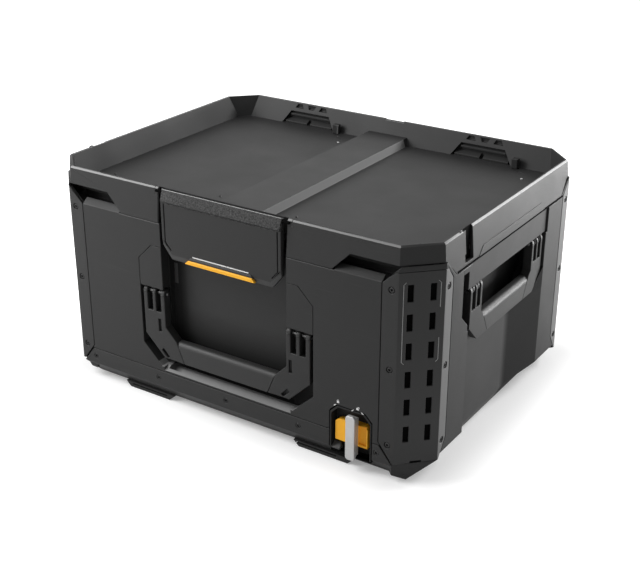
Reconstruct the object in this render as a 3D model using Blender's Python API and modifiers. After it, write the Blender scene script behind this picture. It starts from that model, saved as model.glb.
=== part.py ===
"""A stackable toolbox: tub, hinged lid, front latch, three bail handles and a turning stack lock.

Metres, +Z up, front towards -Y. The box stands on z = 0, and the origin is under the middle of its
overall box. Each named object is one piece of the real box.
"""

from math import cos, pi, sin, sqrt

import bmesh
import bpy
from mathutils import Matrix, Vector

# Overall sizes
BODY_WIDTH = 0.570
BODY_DEPTH = 0.425
RIM_HEIGHT = 0.302
LID_HEIGHT = 0.046
CORNER_LEG = 0.0382
LID_TAPER = 0.0040
FIT = 0.0003
RUNNING_GAP = 0.0006

# Tub
WALL = 0.004
WALL_INSET = 0.010
CORNER_INSET = 0.0145
WALL_BOTTOM = 0.031
BASE_BOTTOM = 0.008
BASE_TOP_INSET = 0.010
BASE_BOTTOM_INSET = 0.022
SEAM_GAP = 0.0006
TOWER_WALL = 0.005
TOWER_LIP = 0.0025
TOWER_LIP_HEIGHT = 0.0039
FRONT_SEAM_INSET = 0.060
SIDE_SEAM_INSET = 0.0645
DECK_THICKNESS = 0.006
NECK_INSET = 0.022
NECK_FRONT_INSET = 0.028
NECK_WALL = 0.004
NECK_HEIGHT = 0.008
LEDGE_END_GAP = 0.003
LEDGE_DEPTH = 0.0095
LEDGE_RISE = 0.007

# Lid
LID_CORNER_RISE = 0.023
LID_WALL = 0.0045
RIM_WALL = 0.004
TRAY_DEPTH = 0.031
TRAY_DRAFT = 0.013
TRAY_CORNER_LEG = 0.014
TRAY_FLOOR = 0.0035
NOTCH_LENGTH = 0.066
RIDGE_HALF = 0.034
RIDGE_TOP_HALF = 0.030
RIDGE_HEIGHT = 0.0105
SOCKET_INSET = 0.140
SOCKET_TOP_HALF = 0.0335
SOCKET_BOTTOM_HALF = 0.046
SOCKET_HEIGHT = 0.018
STOP_GAP = 0.010
STOP_SIDE = 0.009
STOP_HEIGHT = 0.014
GASKET_WIDTH = 0.008
GASKET_THICKNESS = 0.0029
RIM_NOTCH_HALF = 0.015
RIM_NOTCH_DEPTH = 0.002

# Side grooves in lid and tub
GROOVE_RIB = 0.001
GROOVE_WIDTH = 0.017
GROOVE_DEPTH = 0.008
LID_GROOVE_DEPTH = 0.003
LID_GROOVE_RISE = 0.017
GROOVE_DROP = 0.079

# Side recess
PILLAR_WIDTH = 0.1015
RECESS_DEPTH = 0.011
RECESS_FLAT_END = 0.023
RECESS_REAR_STEP = 0.004

# Rear lid hinges
HINGE_INSET = 0.135
HINGE_LENGTH = 0.080
HINGE_MIDDLE = 0.034
HINGE_RADIUS = 0.0065
HINGE_PIN_RADIUS = 0.003
HINGE_STANDOFF = 0.0072
HINGE_DROP = 0.004
HINGE_LEAF = 0.018
HINGE_WEB = 0.003

# Corner guards
GUARD_THICKNESS = 0.003
GUARD_BOTTOM = 0.025
GUARD_TOP_GAP = 0.0075
GUARD_FRONT_FLANGE = 0.0218
GUARD_SIDE_FLANGE = 0.018
GUARD_TOP_CUT = 0.0165
GUARD_TOP_RUN = 0.0190
GUARD_TOP_SIDE_RUN = 0.0135
GUARD_BOTTOM_CUT = 0.026
GUARD_BOTTOM_RUN = 0.020
GUARD_BOTTOM_SIDE_RUN = 0.0165
SLOT_ROWS = 6
SLOT_WIDTH = 0.007
SLOT_HEIGHT = 0.021
SLOT_TOP_MARGIN = 0.015
SLOT_BOTTOM_MARGIN = 0.0295
SLOT_OFFSET = 0.0132
SLOT_POCKET_DEPTH = 0.004
SLOT_POCKET_MARGIN = 0.004

# Base rails
RAIL_TOP = 0.045
RAIL_FACE_BOTTOM = 0.022
RAIL_BOTTOM = 0.0093
RAIL_TOE = 0.0095
RAIL_THICKNESS = 0.0045
RAIL_INSET = 0.059
RAIL_END_SLOPE = 0.0195
SCREW_COUNT = 5
SCREW_END = 0.003
SCREW_HEIGHT = 0.0335
SCREW_HEAD_RADIUS = 0.0034
SCREW_HEAD_DEPTH = 0.0022
SCREW_SHANK_RADIUS = 0.0017
SCREW_LENGTH = 0.010

# Feet
FOOT_HEIGHT = 0.0077
FOOT_DEPTH = 0.032
FOOT_SETBACK = 0.0055
FOOT_LENGTH = 0.068
FOOT_INSET = 0.151
FOOT_END_SLOPE = 0.008

# Front bay and latch
BAY_HALF = 0.0955
BAY_DEPTH = 0.024
ARM_BAY_DEPTH = 0.015
ARM_BAY_HALF = 0.1335
ARM_BAY_TOP_RISE = 0.0115
ARM_BAY_TOP_SLOPE = 0.0215
ARM_BAY_LOW_RISE = 0.0278
ARM_BAY_LOW_SLOPE = 0.0295
BAY_SILL = 0.0082
LIP_DROP = 0.0054
LIP_DEPTH = 0.0085
LIP_HALF = 0.100
LATCH_HALF = 0.0902
LATCH_BAY_HALF = 0.096
LATCH_BAY_INSET = 0.0027
LATCH_FACE_PROUD = 0.002
LATCH_THICKNESS = 0.0075
LATCH_HEIGHT = 0.0905
LATCH_CORNER_HEIGHT = 0.0175
LATCH_CORNER_WIDTH = 0.0137
LATCH_SLOPE_HEIGHT = 0.016
LATCH_SLOPE_DEPTH = 0.003
LATCH_BARREL_RADIUS = 0.004
LATCH_PIN_RADIUS = 0.0018
LATCH_CHEEK = 0.004
LATCH_CHEEK_DEPTH = 0.014
LATCH_CHEEK_HEIGHT = 0.040
LATCH_CHIN_HEIGHT = 0.006
LATCH_CHIN_DEPTH = 0.002
PULL_HALF = 0.052
PULL_HEIGHT = 0.0045
PULL_THICKNESS = 0.0022
HOOK_HALF = 0.060
HOOK_REACH = 0.006
HOOK_HEIGHT = 0.004
HOOK_RISE = 0.004
KEEPER_HALF = 0.055
KEEPER_HEIGHT = 0.008

# Bail handles, shared
BAIL_THICKNESS = 0.012
KNUCKLE_RADIUS = 0.006
KNUCKLE_SLOT = 0.0062
ARM_SHOULDER = 0.0008
LUG_RADIUS = 0.0054
LUG_WEB_HALF = 0.0044
LUG_SIDE_GAP = 0.0004
SLOT_DROP = 0.025
HANDLE_PIN_RADIUS = 0.002
CORE_HEIGHT = 0.016
CORE_THICKNESS = 0.007
GRIP_ROUND = 0.0075

# Front handle
FRONT_PIVOT_RISE = 0.1038
FRONT_ARM_GAP = 0.0045
FRONT_ARM_WIDTH = 0.0345
FRONT_STRAIGHT_DROP = 0.061
FRONT_BAIL_DROP = 0.091
FRONT_BAIL_SLOPE = 0.031
FRONT_GRIP_DROP = 0.0625
FRONT_GRIP_INSET = 0.0515
FRONT_GRIP_SLOPE = 0.012
BRACKET_GAP = 0.0012

# Side handles
MOUNT_HEIGHT = 0.034
LINTEL_SETBACK = 0.0025
LINTEL_THICKNESS = 0.011
SIDE_ARM_GAP = 0.008
SIDE_ARM_WIDTH = 0.031
SIDE_STRAIGHT_DROP = 0.042
SIDE_BAIL_DROP = 0.064
SIDE_BAIL_SLOPE = 0.022
SIDE_GRIP_DROP = 0.036
SIDE_GRIP_INSET = 0.037
SIDE_GRIP_SLOPE = 0.014
HAND_POCKET_DEPTH = 0.032
HAND_POCKET_HEIGHT = 0.077

# Stack lock
LOCK_INSET = 0.039
LOCK_HEIGHT = 0.046
LOCK_HALF = 0.0297
LOCK_TOP = 0.081
LOCK_BOTTOM = 0.0175
LOCK_CORNER = 0.010
LOCK_DEPTH = 0.0163
LOCK_WALL = 0.002
LOCK_FLOOR = 0.003
CAM_LENGTH = 0.044
CAM_HEIGHT = 0.030
CAM_SETBACK = 0.0035
CAM_CORNER = 0.004
LEVER_LENGTH = 0.052
LEVER_WIDTH = 0.013
LEVER_THICKNESS = 0.0058
LOCK_SHAFT_RADIUS = 0.003
LOCK_SHAFT_BITE = 0.0015

# Derived planes
HALF_X = BODY_WIDTH / 2
HALF_Y = BODY_DEPTH / 2
FRONT = -HALF_Y
SEAM_HEIGHT = RIM_HEIGHT - LID_HEIGHT
LID_CORNER_BOTTOM = SEAM_HEIGHT + LID_CORNER_RISE
TOWER_TOP = LID_CORNER_BOTTOM - SEAM_GAP
FRONT_SEAM_HALF = HALF_X - FRONT_SEAM_INSET
SIDE_SEAM_HALF = HALF_Y - SIDE_SEAM_INSET
NOTCH_START = FRONT_SEAM_HALF - NOTCH_LENGTH
LEDGE_START = NOTCH_START + LEDGE_END_GAP
SOCKET_X = HALF_X - SOCKET_INSET
STOP_OFFSET = SOCKET_BOTTOM_HALF + STOP_GAP
RECESS_HALF = HALF_Y - PILLAR_WIDTH
RECESS_REAR = RECESS_HALF - RECESS_REAR_STEP
GROOVE_FRONT = RECESS_HALF + GROOVE_RIB + GROOVE_WIDTH
LID_GROOVE_BOTTOM = SEAM_HEIGHT + LID_GROOVE_RISE
GROOVE_BOTTOM = SEAM_HEIGHT - GROOVE_DROP
HINGE_X = HALF_X - HINGE_INSET
GUARD_TOP = LID_CORNER_BOTTOM - GUARD_TOP_GAP
SLOT_TOP = GUARD_TOP - SLOT_TOP_MARGIN
SLOT_LOWEST = GUARD_BOTTOM + SLOT_BOTTOM_MARGIN
SLOT_PITCH = (SLOT_TOP - SLOT_HEIGHT - SLOT_LOWEST) / (SLOT_ROWS - 1)
RAIL_HALF = HALF_X - RAIL_INSET
RAIL_BOTTOM_HALF = RAIL_HALF + RAIL_END_SLOPE
SCREW_PITCH = 2 * (RAIL_HALF - SCREW_END) / (SCREW_COUNT - 1)
FOOT_X = HALF_X - FOOT_INSET
FOOT_FRONT = HALF_Y - FOOT_SETBACK
LATCH_BOTTOM = RIM_HEIGHT - LATCH_HEIGHT
BAY_FLOOR = RAIL_TOP + BAY_SILL
ARM_BAY_TOP = LATCH_BOTTOM + ARM_BAY_TOP_RISE
ARM_BAY_TOP_HALF = ARM_BAY_HALF - ARM_BAY_TOP_SLOPE
ARM_BAY_LOW = BAY_FLOOR + ARM_BAY_LOW_RISE
ARM_BAY_BOTTOM_HALF = ARM_BAY_HALF - ARM_BAY_LOW_SLOPE
FRONT_PIVOT_HEIGHT = BAY_FLOOR + FRONT_PIVOT_RISE
FRONT_ARM_OUTER = ARM_BAY_HALF - FRONT_ARM_GAP
FRONT_BAIL_BOTTOM_HALF = FRONT_ARM_OUTER - FRONT_BAIL_SLOPE
FRONT_GRIP_TOP_HALF = FRONT_ARM_OUTER - FRONT_GRIP_INSET
FRONT_GRIP_BOTTOM_HALF = FRONT_GRIP_TOP_HALF - FRONT_GRIP_SLOPE
LINTEL_HEIGHT = SEAM_HEIGHT - MOUNT_HEIGHT
HAND_POCKET_BOTTOM = LINTEL_HEIGHT - HAND_POCKET_HEIGHT
SIDE_ARM_OUTER = RECESS_HALF - SIDE_ARM_GAP
SIDE_BAIL_BOTTOM_HALF = SIDE_ARM_OUTER - SIDE_BAIL_SLOPE
SIDE_GRIP_TOP_HALF = SIDE_ARM_OUTER - SIDE_GRIP_INSET
SIDE_GRIP_BOTTOM_HALF = SIDE_GRIP_TOP_HALF - SIDE_GRIP_SLOPE
LOCK_X = RAIL_HALF - LOCK_INSET
LATCH_FACE = FRONT - LATCH_FACE_PROUD
HINGE_Y = HALF_Y + HINGE_STANDOFF
HINGE_Z = SEAM_HEIGHT - HINGE_DROP
REAR_REACH = HINGE_Y + HINGE_RADIUS
LEVER_FACE = FRONT + CAM_SETBACK - FIT - LEVER_THICKNESS
FRONT_REACH = min(LATCH_FACE, LEVER_FACE)
DECK_TOP = SEAM_HEIGHT - SEAM_GAP
NECK_TOP = SEAM_HEIGHT + NECK_HEIGHT
TRAY_TOP = RIM_HEIGHT - TRAY_DEPTH
TRAY_UNDER = TRAY_TOP - TRAY_FLOOR
BAY_WALL = FRONT + BAY_DEPTH
PIVOT_SETBACK = BAIL_THICKNESS / 2
SIDE_FACE = HALF_X - LINTEL_SETBACK
SIDE_PIVOT_HEIGHT = LINTEL_HEIGHT - KNUCKLE_RADIUS - RUNNING_GAP
LATCH_AXIS_Z = RIM_HEIGHT - LATCH_BARREL_RADIUS
LATCH_AXIS_Y = FRONT + LATCH_BAY_INSET + LID_TAPER - RUNNING_GAP - LATCH_BARREL_RADIUS
LATCH_BACK = LATCH_FACE + LATCH_THICKNESS
FAR = 0.6
MARGIN = 0.001
ROUND_SIDES = 16
SMALL_ROUND_SIDES = 12


def clear_scene():
    for obj in list(bpy.data.objects):
        bpy.data.objects.remove(obj, do_unlink=True)


def collection(name):
    made = bpy.data.collections.new(name)
    bpy.context.scene.collection.children.link(made)
    return made


clear_scene()
PARTS = collection("stackable_toolbox")
CUTTERS = collection("toolbox_cutters")


def empty(name, place, parent=None):
    obj = bpy.data.objects.new(name, None)
    obj.location = place
    obj.parent = parent
    PARTS.objects.link(obj)
    return obj


# The box's own middle lies off the middle of its overall depth, because the hinges stand out behind it.
BOX = empty("toolbox", (0, -(FRONT_REACH + REAR_REACH) / 2, 0))


def material(name, colour, roughness, metallic=0.0):
    made = bpy.data.materials.new(name)
    made.use_nodes = True
    shader = made.node_tree.nodes["Principled BSDF"]
    shader.inputs["Base Color"].default_value = (*colour, 1)
    shader.inputs["Roughness"].default_value = roughness
    shader.inputs["Metallic"].default_value = metallic
    made.diffuse_color = (*colour, 1)
    return made


SHELL_PLASTIC = material("charcoal_plastic", (0.045, 0.045, 0.046), 0.55)
GUARD_PLASTIC = material("guard_plastic", (0.030, 0.030, 0.031), 0.60)
GRIP_RUBBER = material("grip_rubber", (0.025, 0.025, 0.026), 0.75)
SEAL_RUBBER = material("seal_rubber", (0.012, 0.012, 0.012), 0.85)
ACCENT_PLASTIC = material("orange_plastic", (0.82, 0.32, 0.04), 0.45)
BRIGHT_METAL = material("bright_metal", (0.70, 0.70, 0.70), 0.30, 1.0)
DARK_STEEL = material("dark_steel", (0.06, 0.06, 0.065), 0.40, 1.0)
PIN_STEEL = material("pin_steel", (0.45, 0.45, 0.46), 0.30, 1.0)


# Shapes

def mesh_object(name, mesh):
    obj = bpy.data.objects.new(name, mesh)
    CUTTERS.objects.link(obj)
    obj.hide_render = True
    obj.display_type = "WIRE"
    obj.parent = BOX
    return obj


def welded(mesh):
    work = bmesh.new()
    work.from_mesh(mesh)
    bmesh.ops.remove_doubles(work, verts=work.verts, dist=1e-7)
    bmesh.ops.recalc_face_normals(work, faces=work.faces)
    work.to_mesh(mesh)
    work.free()
    return mesh


def prism(name, outline, low, high, axis="Z"):
    """A flat outline given a thickness from low to high along an axis.

    The outline's two numbers are x, y for Z, x, z for Y, and y, z for X.
    """
    curve = bpy.data.curves.new(name, "CURVE")
    curve.dimensions = "2D"
    curve.fill_mode = "BOTH"
    curve.extrude = (high - low) / 2
    spline = curve.splines.new("POLY")
    spline.points.add(len(outline) - 1)
    for point, (u, v) in zip(spline.points, outline):
        point.co = (u, v, 0, 1)
    spline.use_cyclic_u = True
    guide = bpy.data.objects.new(name, curve)
    bpy.context.scene.collection.objects.link(guide)
    bpy.context.view_layer.update()
    graph = bpy.context.evaluated_depsgraph_get()
    mesh = bpy.data.meshes.new_from_object(guide.evaluated_get(graph))
    bpy.data.objects.remove(guide, do_unlink=True)
    middle = (low + high) / 2
    turns = {
        "Z": Matrix(((1, 0, 0, 0), (0, 1, 0, 0), (0, 0, 1, middle), (0, 0, 0, 1))),
        "Y": Matrix(((1, 0, 0, 0), (0, 0, -1, middle), (0, 1, 0, 0), (0, 0, 0, 1))),
        "X": Matrix(((0, 0, 1, middle), (1, 0, 0, 0), (0, 1, 0, 0), (0, 0, 0, 1))),
    }
    mesh.transform(turns[axis])
    return mesh_object(name, welded(mesh))


def block(name, low, high):
    work = bmesh.new()
    bmesh.ops.create_cube(work, size=1)
    size = Vector(high) - Vector(low)
    middle = (Vector(high) + Vector(low)) / 2
    bmesh.ops.transform(work, verts=work.verts, matrix=Matrix.Diagonal((*size, 1)))
    bmesh.ops.translate(work, verts=work.verts, vec=middle)
    mesh = bpy.data.meshes.new(name)
    work.to_mesh(mesh)
    work.free()
    return mesh_object(name, mesh)


def rod(name, radius, start, end, sides=ROUND_SIDES):
    """A round bar between two points."""
    start = Vector(start)
    end = Vector(end)
    work = bmesh.new()
    bmesh.ops.create_cone(
        work, cap_ends=True, segments=sides, radius1=radius, radius2=radius, depth=(end - start).length
    )
    turn = (end - start).to_track_quat("Z", "Y").to_matrix().to_4x4()
    bmesh.ops.transform(work, verts=work.verts, matrix=Matrix.Translation((start + end) / 2) @ turn)
    mesh = bpy.data.meshes.new(name)
    work.to_mesh(mesh)
    work.free()
    mesh.shade_smooth()
    mesh.set_sharp_from_angle(angle=pi / 6)
    return mesh_object(name, mesh)


def loft(name, low_outline, low, high_outline, high):
    """A closed solid between two level outlines with the same number of points."""
    work = bmesh.new()
    rings = []
    for outline, height in ((low_outline, low), (high_outline, high)):
        points = [work.verts.new((x, y, height)) for x, y in outline]
        rings += [work.edges.new((a, b)) for a, b in zip(points, points[1:] + points[:1])]
        work.faces.new(points)
    bmesh.ops.bridge_loops(work, edges=rings)
    bmesh.ops.recalc_face_normals(work, faces=work.faces)
    mesh = bpy.data.meshes.new(name)
    work.to_mesh(mesh)
    work.free()
    return mesh_object(name, mesh)


def octagon(inset=0.0, corner_inset=None, front_inset=None):
    """The box's plan outline, moved in by inset, with its corners moved in square to themselves."""
    corner_inset = inset if corner_inset is None else corner_inset
    front_inset = inset if front_inset is None else front_inset
    x = HALF_X - inset
    back = HALF_Y - inset
    front = HALF_Y - front_inset
    corner = HALF_X + HALF_Y - CORNER_LEG - corner_inset * sqrt(2)
    return [
        (corner - front, -front),
        (x, x - corner),
        (x, corner - x),
        (corner - back, back),
        (back - corner, back),
        (-x, corner - x),
        (-x, x - corner),
        (front - corner, -front),
    ]


def mirrored(obj, *axes):
    """Adds the mirror images of a cutter across the box's middle planes, as separate bodies."""
    change = obj.modifiers.new("mirror", "MIRROR")
    change.use_axis = tuple(name in axes for name in "XYZ")
    change.use_mirror_merge = False
    return obj


def boolean(target, other, operation):
    change = target.modifiers.new(f"{operation.lower()}_{other.name}"[:60], "BOOLEAN")
    change.operation = operation
    change.object = other
    change.solver = "EXACT"
    return target


def cut(target, *others):
    for other in others:
        boolean(target, other, "DIFFERENCE")
    return target


def join(target, *others):
    for other in others:
        boolean(target, other, "UNION")
    return target


def piece(obj, name, finish, parent=None, origin=(0, 0, 0)):
    """Makes an object one of the box's pieces, with its own origin, under its parent."""
    parent = BOX if parent is None else parent
    CUTTERS.objects.unlink(obj)
    PARTS.objects.link(obj)
    obj.hide_render = False
    obj.display_type = "TEXTURED"
    obj.name = name
    obj.data.name = name
    obj.data.materials.clear()
    obj.data.materials.append(finish)
    obj.data.transform(Matrix.Translation(-Vector(origin)))
    obj.location = Vector(origin) - AXIS_PLACES.get(parent.name, Vector())
    obj.parent = parent
    return obj


def seam_outline(half, grow=0.0):
    """The trapezium that the tub's wall drops through between two corner towers."""
    rise = TOWER_TOP + MARGIN - DECK_TOP
    return [
        (-half + grow, DECK_TOP),
        (half - grow, DECK_TOP),
        (half - grow + rise, DECK_TOP + rise),
        (-half + grow - rise, DECK_TOP + rise),
    ]


# Joint axes

LID_AXIS = (0, HINGE_Y, HINGE_Z)
LATCH_AXIS = (0, LATCH_AXIS_Y, LATCH_AXIS_Z)
FRONT_AXIS = (0, FRONT + PIVOT_SETBACK, FRONT_PIVOT_HEIGHT)
RIGHT_AXIS = (SIDE_FACE - PIVOT_SETBACK, 0, SIDE_PIVOT_HEIGHT)
LEFT_AXIS = (-SIDE_FACE + PIVOT_SETBACK, 0, SIDE_PIVOT_HEIGHT)
LOCK_AXIS = (LOCK_X, FRONT + CAM_SETBACK, LOCK_HEIGHT)
AXIS_PLACES = {}


def joint_axis(name, place, parent=BOX):
    """An empty on a joint's axis, which the pieces that turn there hang from."""
    AXIS_PLACES[name] = Vector(place)
    return empty(name, Vector(place) - AXIS_PLACES.get(parent.name, Vector()), parent)


LID_HINGE = joint_axis("lid_hinge_axis", LID_AXIS)
LATCH_HINGE = joint_axis("latch_axis", LATCH_AXIS, LID_HINGE)
FRONT_HINGE = joint_axis("front_handle_axis", FRONT_AXIS)
RIGHT_HINGE = joint_axis("right_handle_axis", RIGHT_AXIS)
LEFT_HINGE = joint_axis("left_handle_axis", LEFT_AXIS)
LOCK_HINGE = joint_axis("stack_lock_axis", LOCK_AXIS)


# Corner guards

def guard_strip(name, thickness, grow=0.0, proud=0.0):
    """The front right corner's bent strip, from proud of the body's face to thickness below it."""
    edge_x = HALF_X - CORNER_LEG
    edge_y = HALF_Y - CORNER_LEG
    bend = thickness * (sqrt(2) - 1)
    lift = proud * (sqrt(2) - 1)
    front_end = edge_x - GUARD_FRONT_FLANGE - grow
    side_end = edge_y - GUARD_SIDE_FLANGE - grow
    plan = [
        (front_end, -HALF_Y - proud),
        (edge_x + lift, -HALF_Y - proud),
        (HALF_X + proud, -edge_y - lift),
        (HALF_X + proud, -side_end),
        (HALF_X - thickness, -side_end),
        (HALF_X - thickness, -edge_y + bend),
        (edge_x - bend, -HALF_Y + thickness),
        (front_end, -HALF_Y + thickness),
    ]
    strip = prism(name, plan, GUARD_BOTTOM - grow, GUARD_TOP + grow)
    low = GUARD_BOTTOM - grow
    high = GUARD_TOP + grow
    flanges = (
        (front_end, 1, "Y", -FAR, -edge_y - CORNER_LEG / 2, GUARD_TOP_RUN, GUARD_BOTTOM_RUN),
        (-side_end, -1, "X", edge_x + CORNER_LEG / 2, FAR, GUARD_TOP_SIDE_RUN, GUARD_BOTTOM_SIDE_RUN),
    )
    for end, way, axis, near, far, top_run, bottom_run in flanges:
        ends = (
            ("top", high + MARGIN, high - GUARD_TOP_CUT, top_run),
            ("bottom", low - MARGIN, low + GUARD_BOTTOM_CUT, bottom_run),
        )
        for which, outside, inside, run in ends:
            corner = [
                (end - way * MARGIN, outside),
                (end + way * run, outside),
                (end - way * MARGIN, inside),
            ]
            cut(strip, prism(f"{name}_{axis}_{which}_corner", corner, near, far, axis))
    return strip


def across_corner(name, offset, width, low, high, depth, rise=MARGIN):
    """A block square to the front right corner's chamfer, centred offset along it, depth into the corner."""
    middle = Vector((HALF_X - CORNER_LEG / 2, -HALF_Y + CORNER_LEG / 2, 0))
    along = Vector((1, 1, 0)).normalized()
    out = Vector((1, -1, 0)).normalized()
    corners = [
        middle + along * (offset + width / 2 * side) + out * reach
        for side, reach in ((-1, rise), (-1, -depth), (1, -depth), (1, rise))
    ]
    return prism(name, [(p.x, p.y) for p in corners], low, high)


def slot_cutters(name):
    made = []
    for column in (-1, 1):
        for row in range(SLOT_ROWS):
            top = SLOT_TOP - row * SLOT_PITCH
            made.append(
                across_corner(
                    f"{name}_{column}_{row}",
                    column * SLOT_OFFSET,
                    SLOT_WIDTH,
                    top - SLOT_HEIGHT,
                    top,
                    GUARD_THICKNESS + MARGIN,
                )
            )
    return made


def reflect(obj, across_x, across_y):
    """Turns a finished cutter or piece into its image across the box's middle planes."""
    change = Matrix.Diagonal((-1 if across_x else 1, -1 if across_y else 1, 1, 1))
    obj.data.transform(change)
    if across_x != across_y:
        obj.data.flip_normals()
    return obj


def settled(obj):
    """The same shape with its modifiers worked into its mesh."""
    bpy.context.view_layer.update()
    graph = bpy.context.evaluated_depsgraph_get()
    mesh = bpy.data.meshes.new_from_object(obj.evaluated_get(graph))
    name = obj.name
    bpy.data.objects.remove(obj, do_unlink=True)
    return mesh_object(name, mesh)


def corner_guards():
    for end, across_y in (("front", False), ("rear", True)):
        for side, across_x in (("right", False), ("left", True)):
            name = f"corner_guard_{end}_{side}"
            strip = cut(guard_strip(f"{name}_strip", GUARD_THICKNESS), *slot_cutters(f"{name}_slot"))
            piece(reflect(settled(strip), across_x, across_y), name, GUARD_PLASTIC)


# Bail handles, modelled at their pivot: u along the hinge, -y outwards, z up

def bail_outline(size):
    outer, width, straight, drop, bottom, grip_drop, grip_top, _ = size
    right = [
        (bottom, -drop),
        (outer, -straight),
        (outer, -ARM_SHOULDER),
        (outer - width, -ARM_SHOULDER),
        (outer - width, -grip_drop + (outer - width - grip_top)),
        (grip_top, -grip_drop),
    ]
    return right + [(-u, z) for u, z in reversed(right)]


def grip_outline(size, grow=0.0):
    _, _, _, drop, _, grip_drop, grip_top, grip_bottom = size
    lean = (grip_top - grip_bottom) / (drop - grip_drop)
    high = -grip_drop + (MARGIN if grow else 0)
    low = -drop - (MARGIN if grow else 0)
    top_half = grip_top + lean * (high + grip_drop) + grow
    bottom_half = grip_bottom + lean * (low + drop) + grow
    return [(-bottom_half, low), (bottom_half, low), (top_half, high), (-top_half, high)]


def grip_section(size):
    """The grip's section: flat in front and below, rounded over its top edges."""
    _, _, _, drop, _, grip_drop, _, _ = size
    half = BAIL_THICKNESS / 2
    corners = 6
    section = [(half, -drop), (-half, -drop)]
    for step in range(corners + 1):
        angle = pi / 2 * step / corners
        section.append((-half + GRIP_ROUND * (1 - cos(angle)), -grip_drop - GRIP_ROUND * (1 - sin(angle))))
    section += [(half, -grip_drop)]
    return section


def grip_middle(size):
    return -(size[3] + size[5]) / 2


def knuckle_slots(size):
    """The two slots in an arm's head, as places along the hinge on the positive side."""
    outer, width = size[0], size[1]
    finger = (width - 2 * KNUCKLE_SLOT) / 3
    start = outer - width
    return [
        (start + finger, start + finger + KNUCKLE_SLOT),
        (start + 2 * finger + KNUCKLE_SLOT, start + 2 * finger + 2 * KNUCKLE_SLOT),
    ]


def bail_frame(name, size):
    half = BAIL_THICKNESS / 2
    outer, width = size[0], size[1]
    frame = prism(f"{name}_bar", bail_outline(size), -half, half, "Y")
    for way in (-1, 1):
        head = rod(
            f"{name}_head_{way}", KNUCKLE_RADIUS, (way * (outer - width), 0, 0), (way * outer, 0, 0)
        )
        join(frame, head)
    for way in (-1, 1):
        for index, (start, end) in enumerate(knuckle_slots(size)):
            low = min(way * start, way * end)
            high = max(way * start, way * end)
            slot = block(
                f"{name}_slot_{way}_{index}",
                (low, -half - MARGIN, -SLOT_DROP),
                (high, half + MARGIN, KNUCKLE_RADIUS + MARGIN),
            )
            cut(frame, slot)
    bore = HANDLE_PIN_RADIUS + FIT
    cut(frame, rod(f"{name}_bore", bore, (-FAR, 0, 0), (FAR, 0, 0), SMALL_ROUND_SIDES))
    sleeve = prism(f"{name}_sleeve_room", grip_outline(size, FIT), -half - MARGIN, half + MARGIN, "Y")
    middle = grip_middle(size)
    core = block(
        f"{name}_core",
        (-FAR, -CORE_THICKNESS / 2, middle - CORE_HEIGHT / 2),
        (FAR, CORE_THICKNESS / 2, middle + CORE_HEIGHT / 2),
    )
    return cut(frame, cut(sleeve, core))


def bail_grip(name, size):
    half = BAIL_THICKNESS / 2
    grip = prism(f"{name}_length", grip_outline(size), -half - MARGIN, half + MARGIN, "Y")
    section = prism(f"{name}_section", grip_section(size), -FAR, FAR, "X")
    boolean(grip, section, "INTERSECT")
    middle = grip_middle(size)
    room = block(
        f"{name}_bore",
        (-FAR, -CORE_THICKNESS / 2 - FIT, middle - CORE_HEIGHT / 2 - FIT),
        (FAR, CORE_THICKNESS / 2 + FIT, middle + CORE_HEIGHT / 2 + FIT),
    )
    return cut(grip, room)


def lugs(name, size, rise):
    """The two ears that stand in each arm's slots, reaching up by rise, on both ends of the hinge."""
    made = []
    for way in (-1, 1):
        for index, (start, end) in enumerate(knuckle_slots(size)):
            low = min(way * start, way * end) + LUG_SIDE_GAP
            high = max(way * start, way * end) - LUG_SIDE_GAP
            ear = rod(f"{name}_{way}_{index}", LUG_RADIUS, (low, 0, 0), (high, 0, 0))
            web = block(f"{name}_web_{way}_{index}", (low, -LUG_WEB_HALF, 0), (high, LUG_WEB_HALF, rise))
            made.append((way, join(ear, web)))
    return made


FRONT_BAIL = (
    FRONT_ARM_OUTER,
    FRONT_ARM_WIDTH,
    FRONT_STRAIGHT_DROP,
    FRONT_BAIL_DROP,
    FRONT_BAIL_BOTTOM_HALF,
    FRONT_GRIP_DROP,
    FRONT_GRIP_TOP_HALF,
    FRONT_GRIP_BOTTOM_HALF,
)
SIDE_BAIL = (
    SIDE_ARM_OUTER,
    SIDE_ARM_WIDTH,
    SIDE_STRAIGHT_DROP,
    SIDE_BAIL_DROP,
    SIDE_BAIL_BOTTOM_HALF,
    SIDE_GRIP_DROP,
    SIDE_GRIP_TOP_HALF,
    SIDE_GRIP_BOTTOM_HALF,
)
BAILS = (
    ("front_handle", FRONT_BAIL, FRONT_HINGE, 0, ("left", "right")),
    ("right_handle", SIDE_BAIL, RIGHT_HINGE, pi / 2, ("front", "rear")),
    ("left_handle", SIDE_BAIL, LEFT_HINGE, -pi / 2, ("rear", "front")),
)


def placed(obj, hinge, turn):
    """Turns a shape that was modelled at its pivot to the side of the box that it belongs on."""
    obj = settled(obj)
    obj.data.transform(Matrix.Translation(hinge.location) @ Matrix.Rotation(turn, 4, "Z"))
    return obj


def bail_handles():
    for name, size, hinge, turn, ends in BAILS:
        frame = placed(bail_frame(name, size), hinge, turn)
        piece(frame, f"{name}_frame", GUARD_PLASTIC, hinge, hinge.location)
        grip = placed(bail_grip(f"{name}_sleeve", size), hinge, turn)
        piece(grip, f"{name}_grip", GRIP_RUBBER, hinge, hinge.location)
        outer, width = size[0], size[1]
        for way, end in zip((-1, 1), ends):
            pin = rod(
                f"{name}_{end}_pin",
                HANDLE_PIN_RADIUS,
                (way * (outer - width - MARGIN), 0, 0),
                (way * (outer + MARGIN), 0, 0),
                SMALL_ROUND_SIDES,
            )
            piece(placed(pin, hinge, turn), f"{name}_pin_{end}", PIN_STEEL, None, hinge.location)


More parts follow.
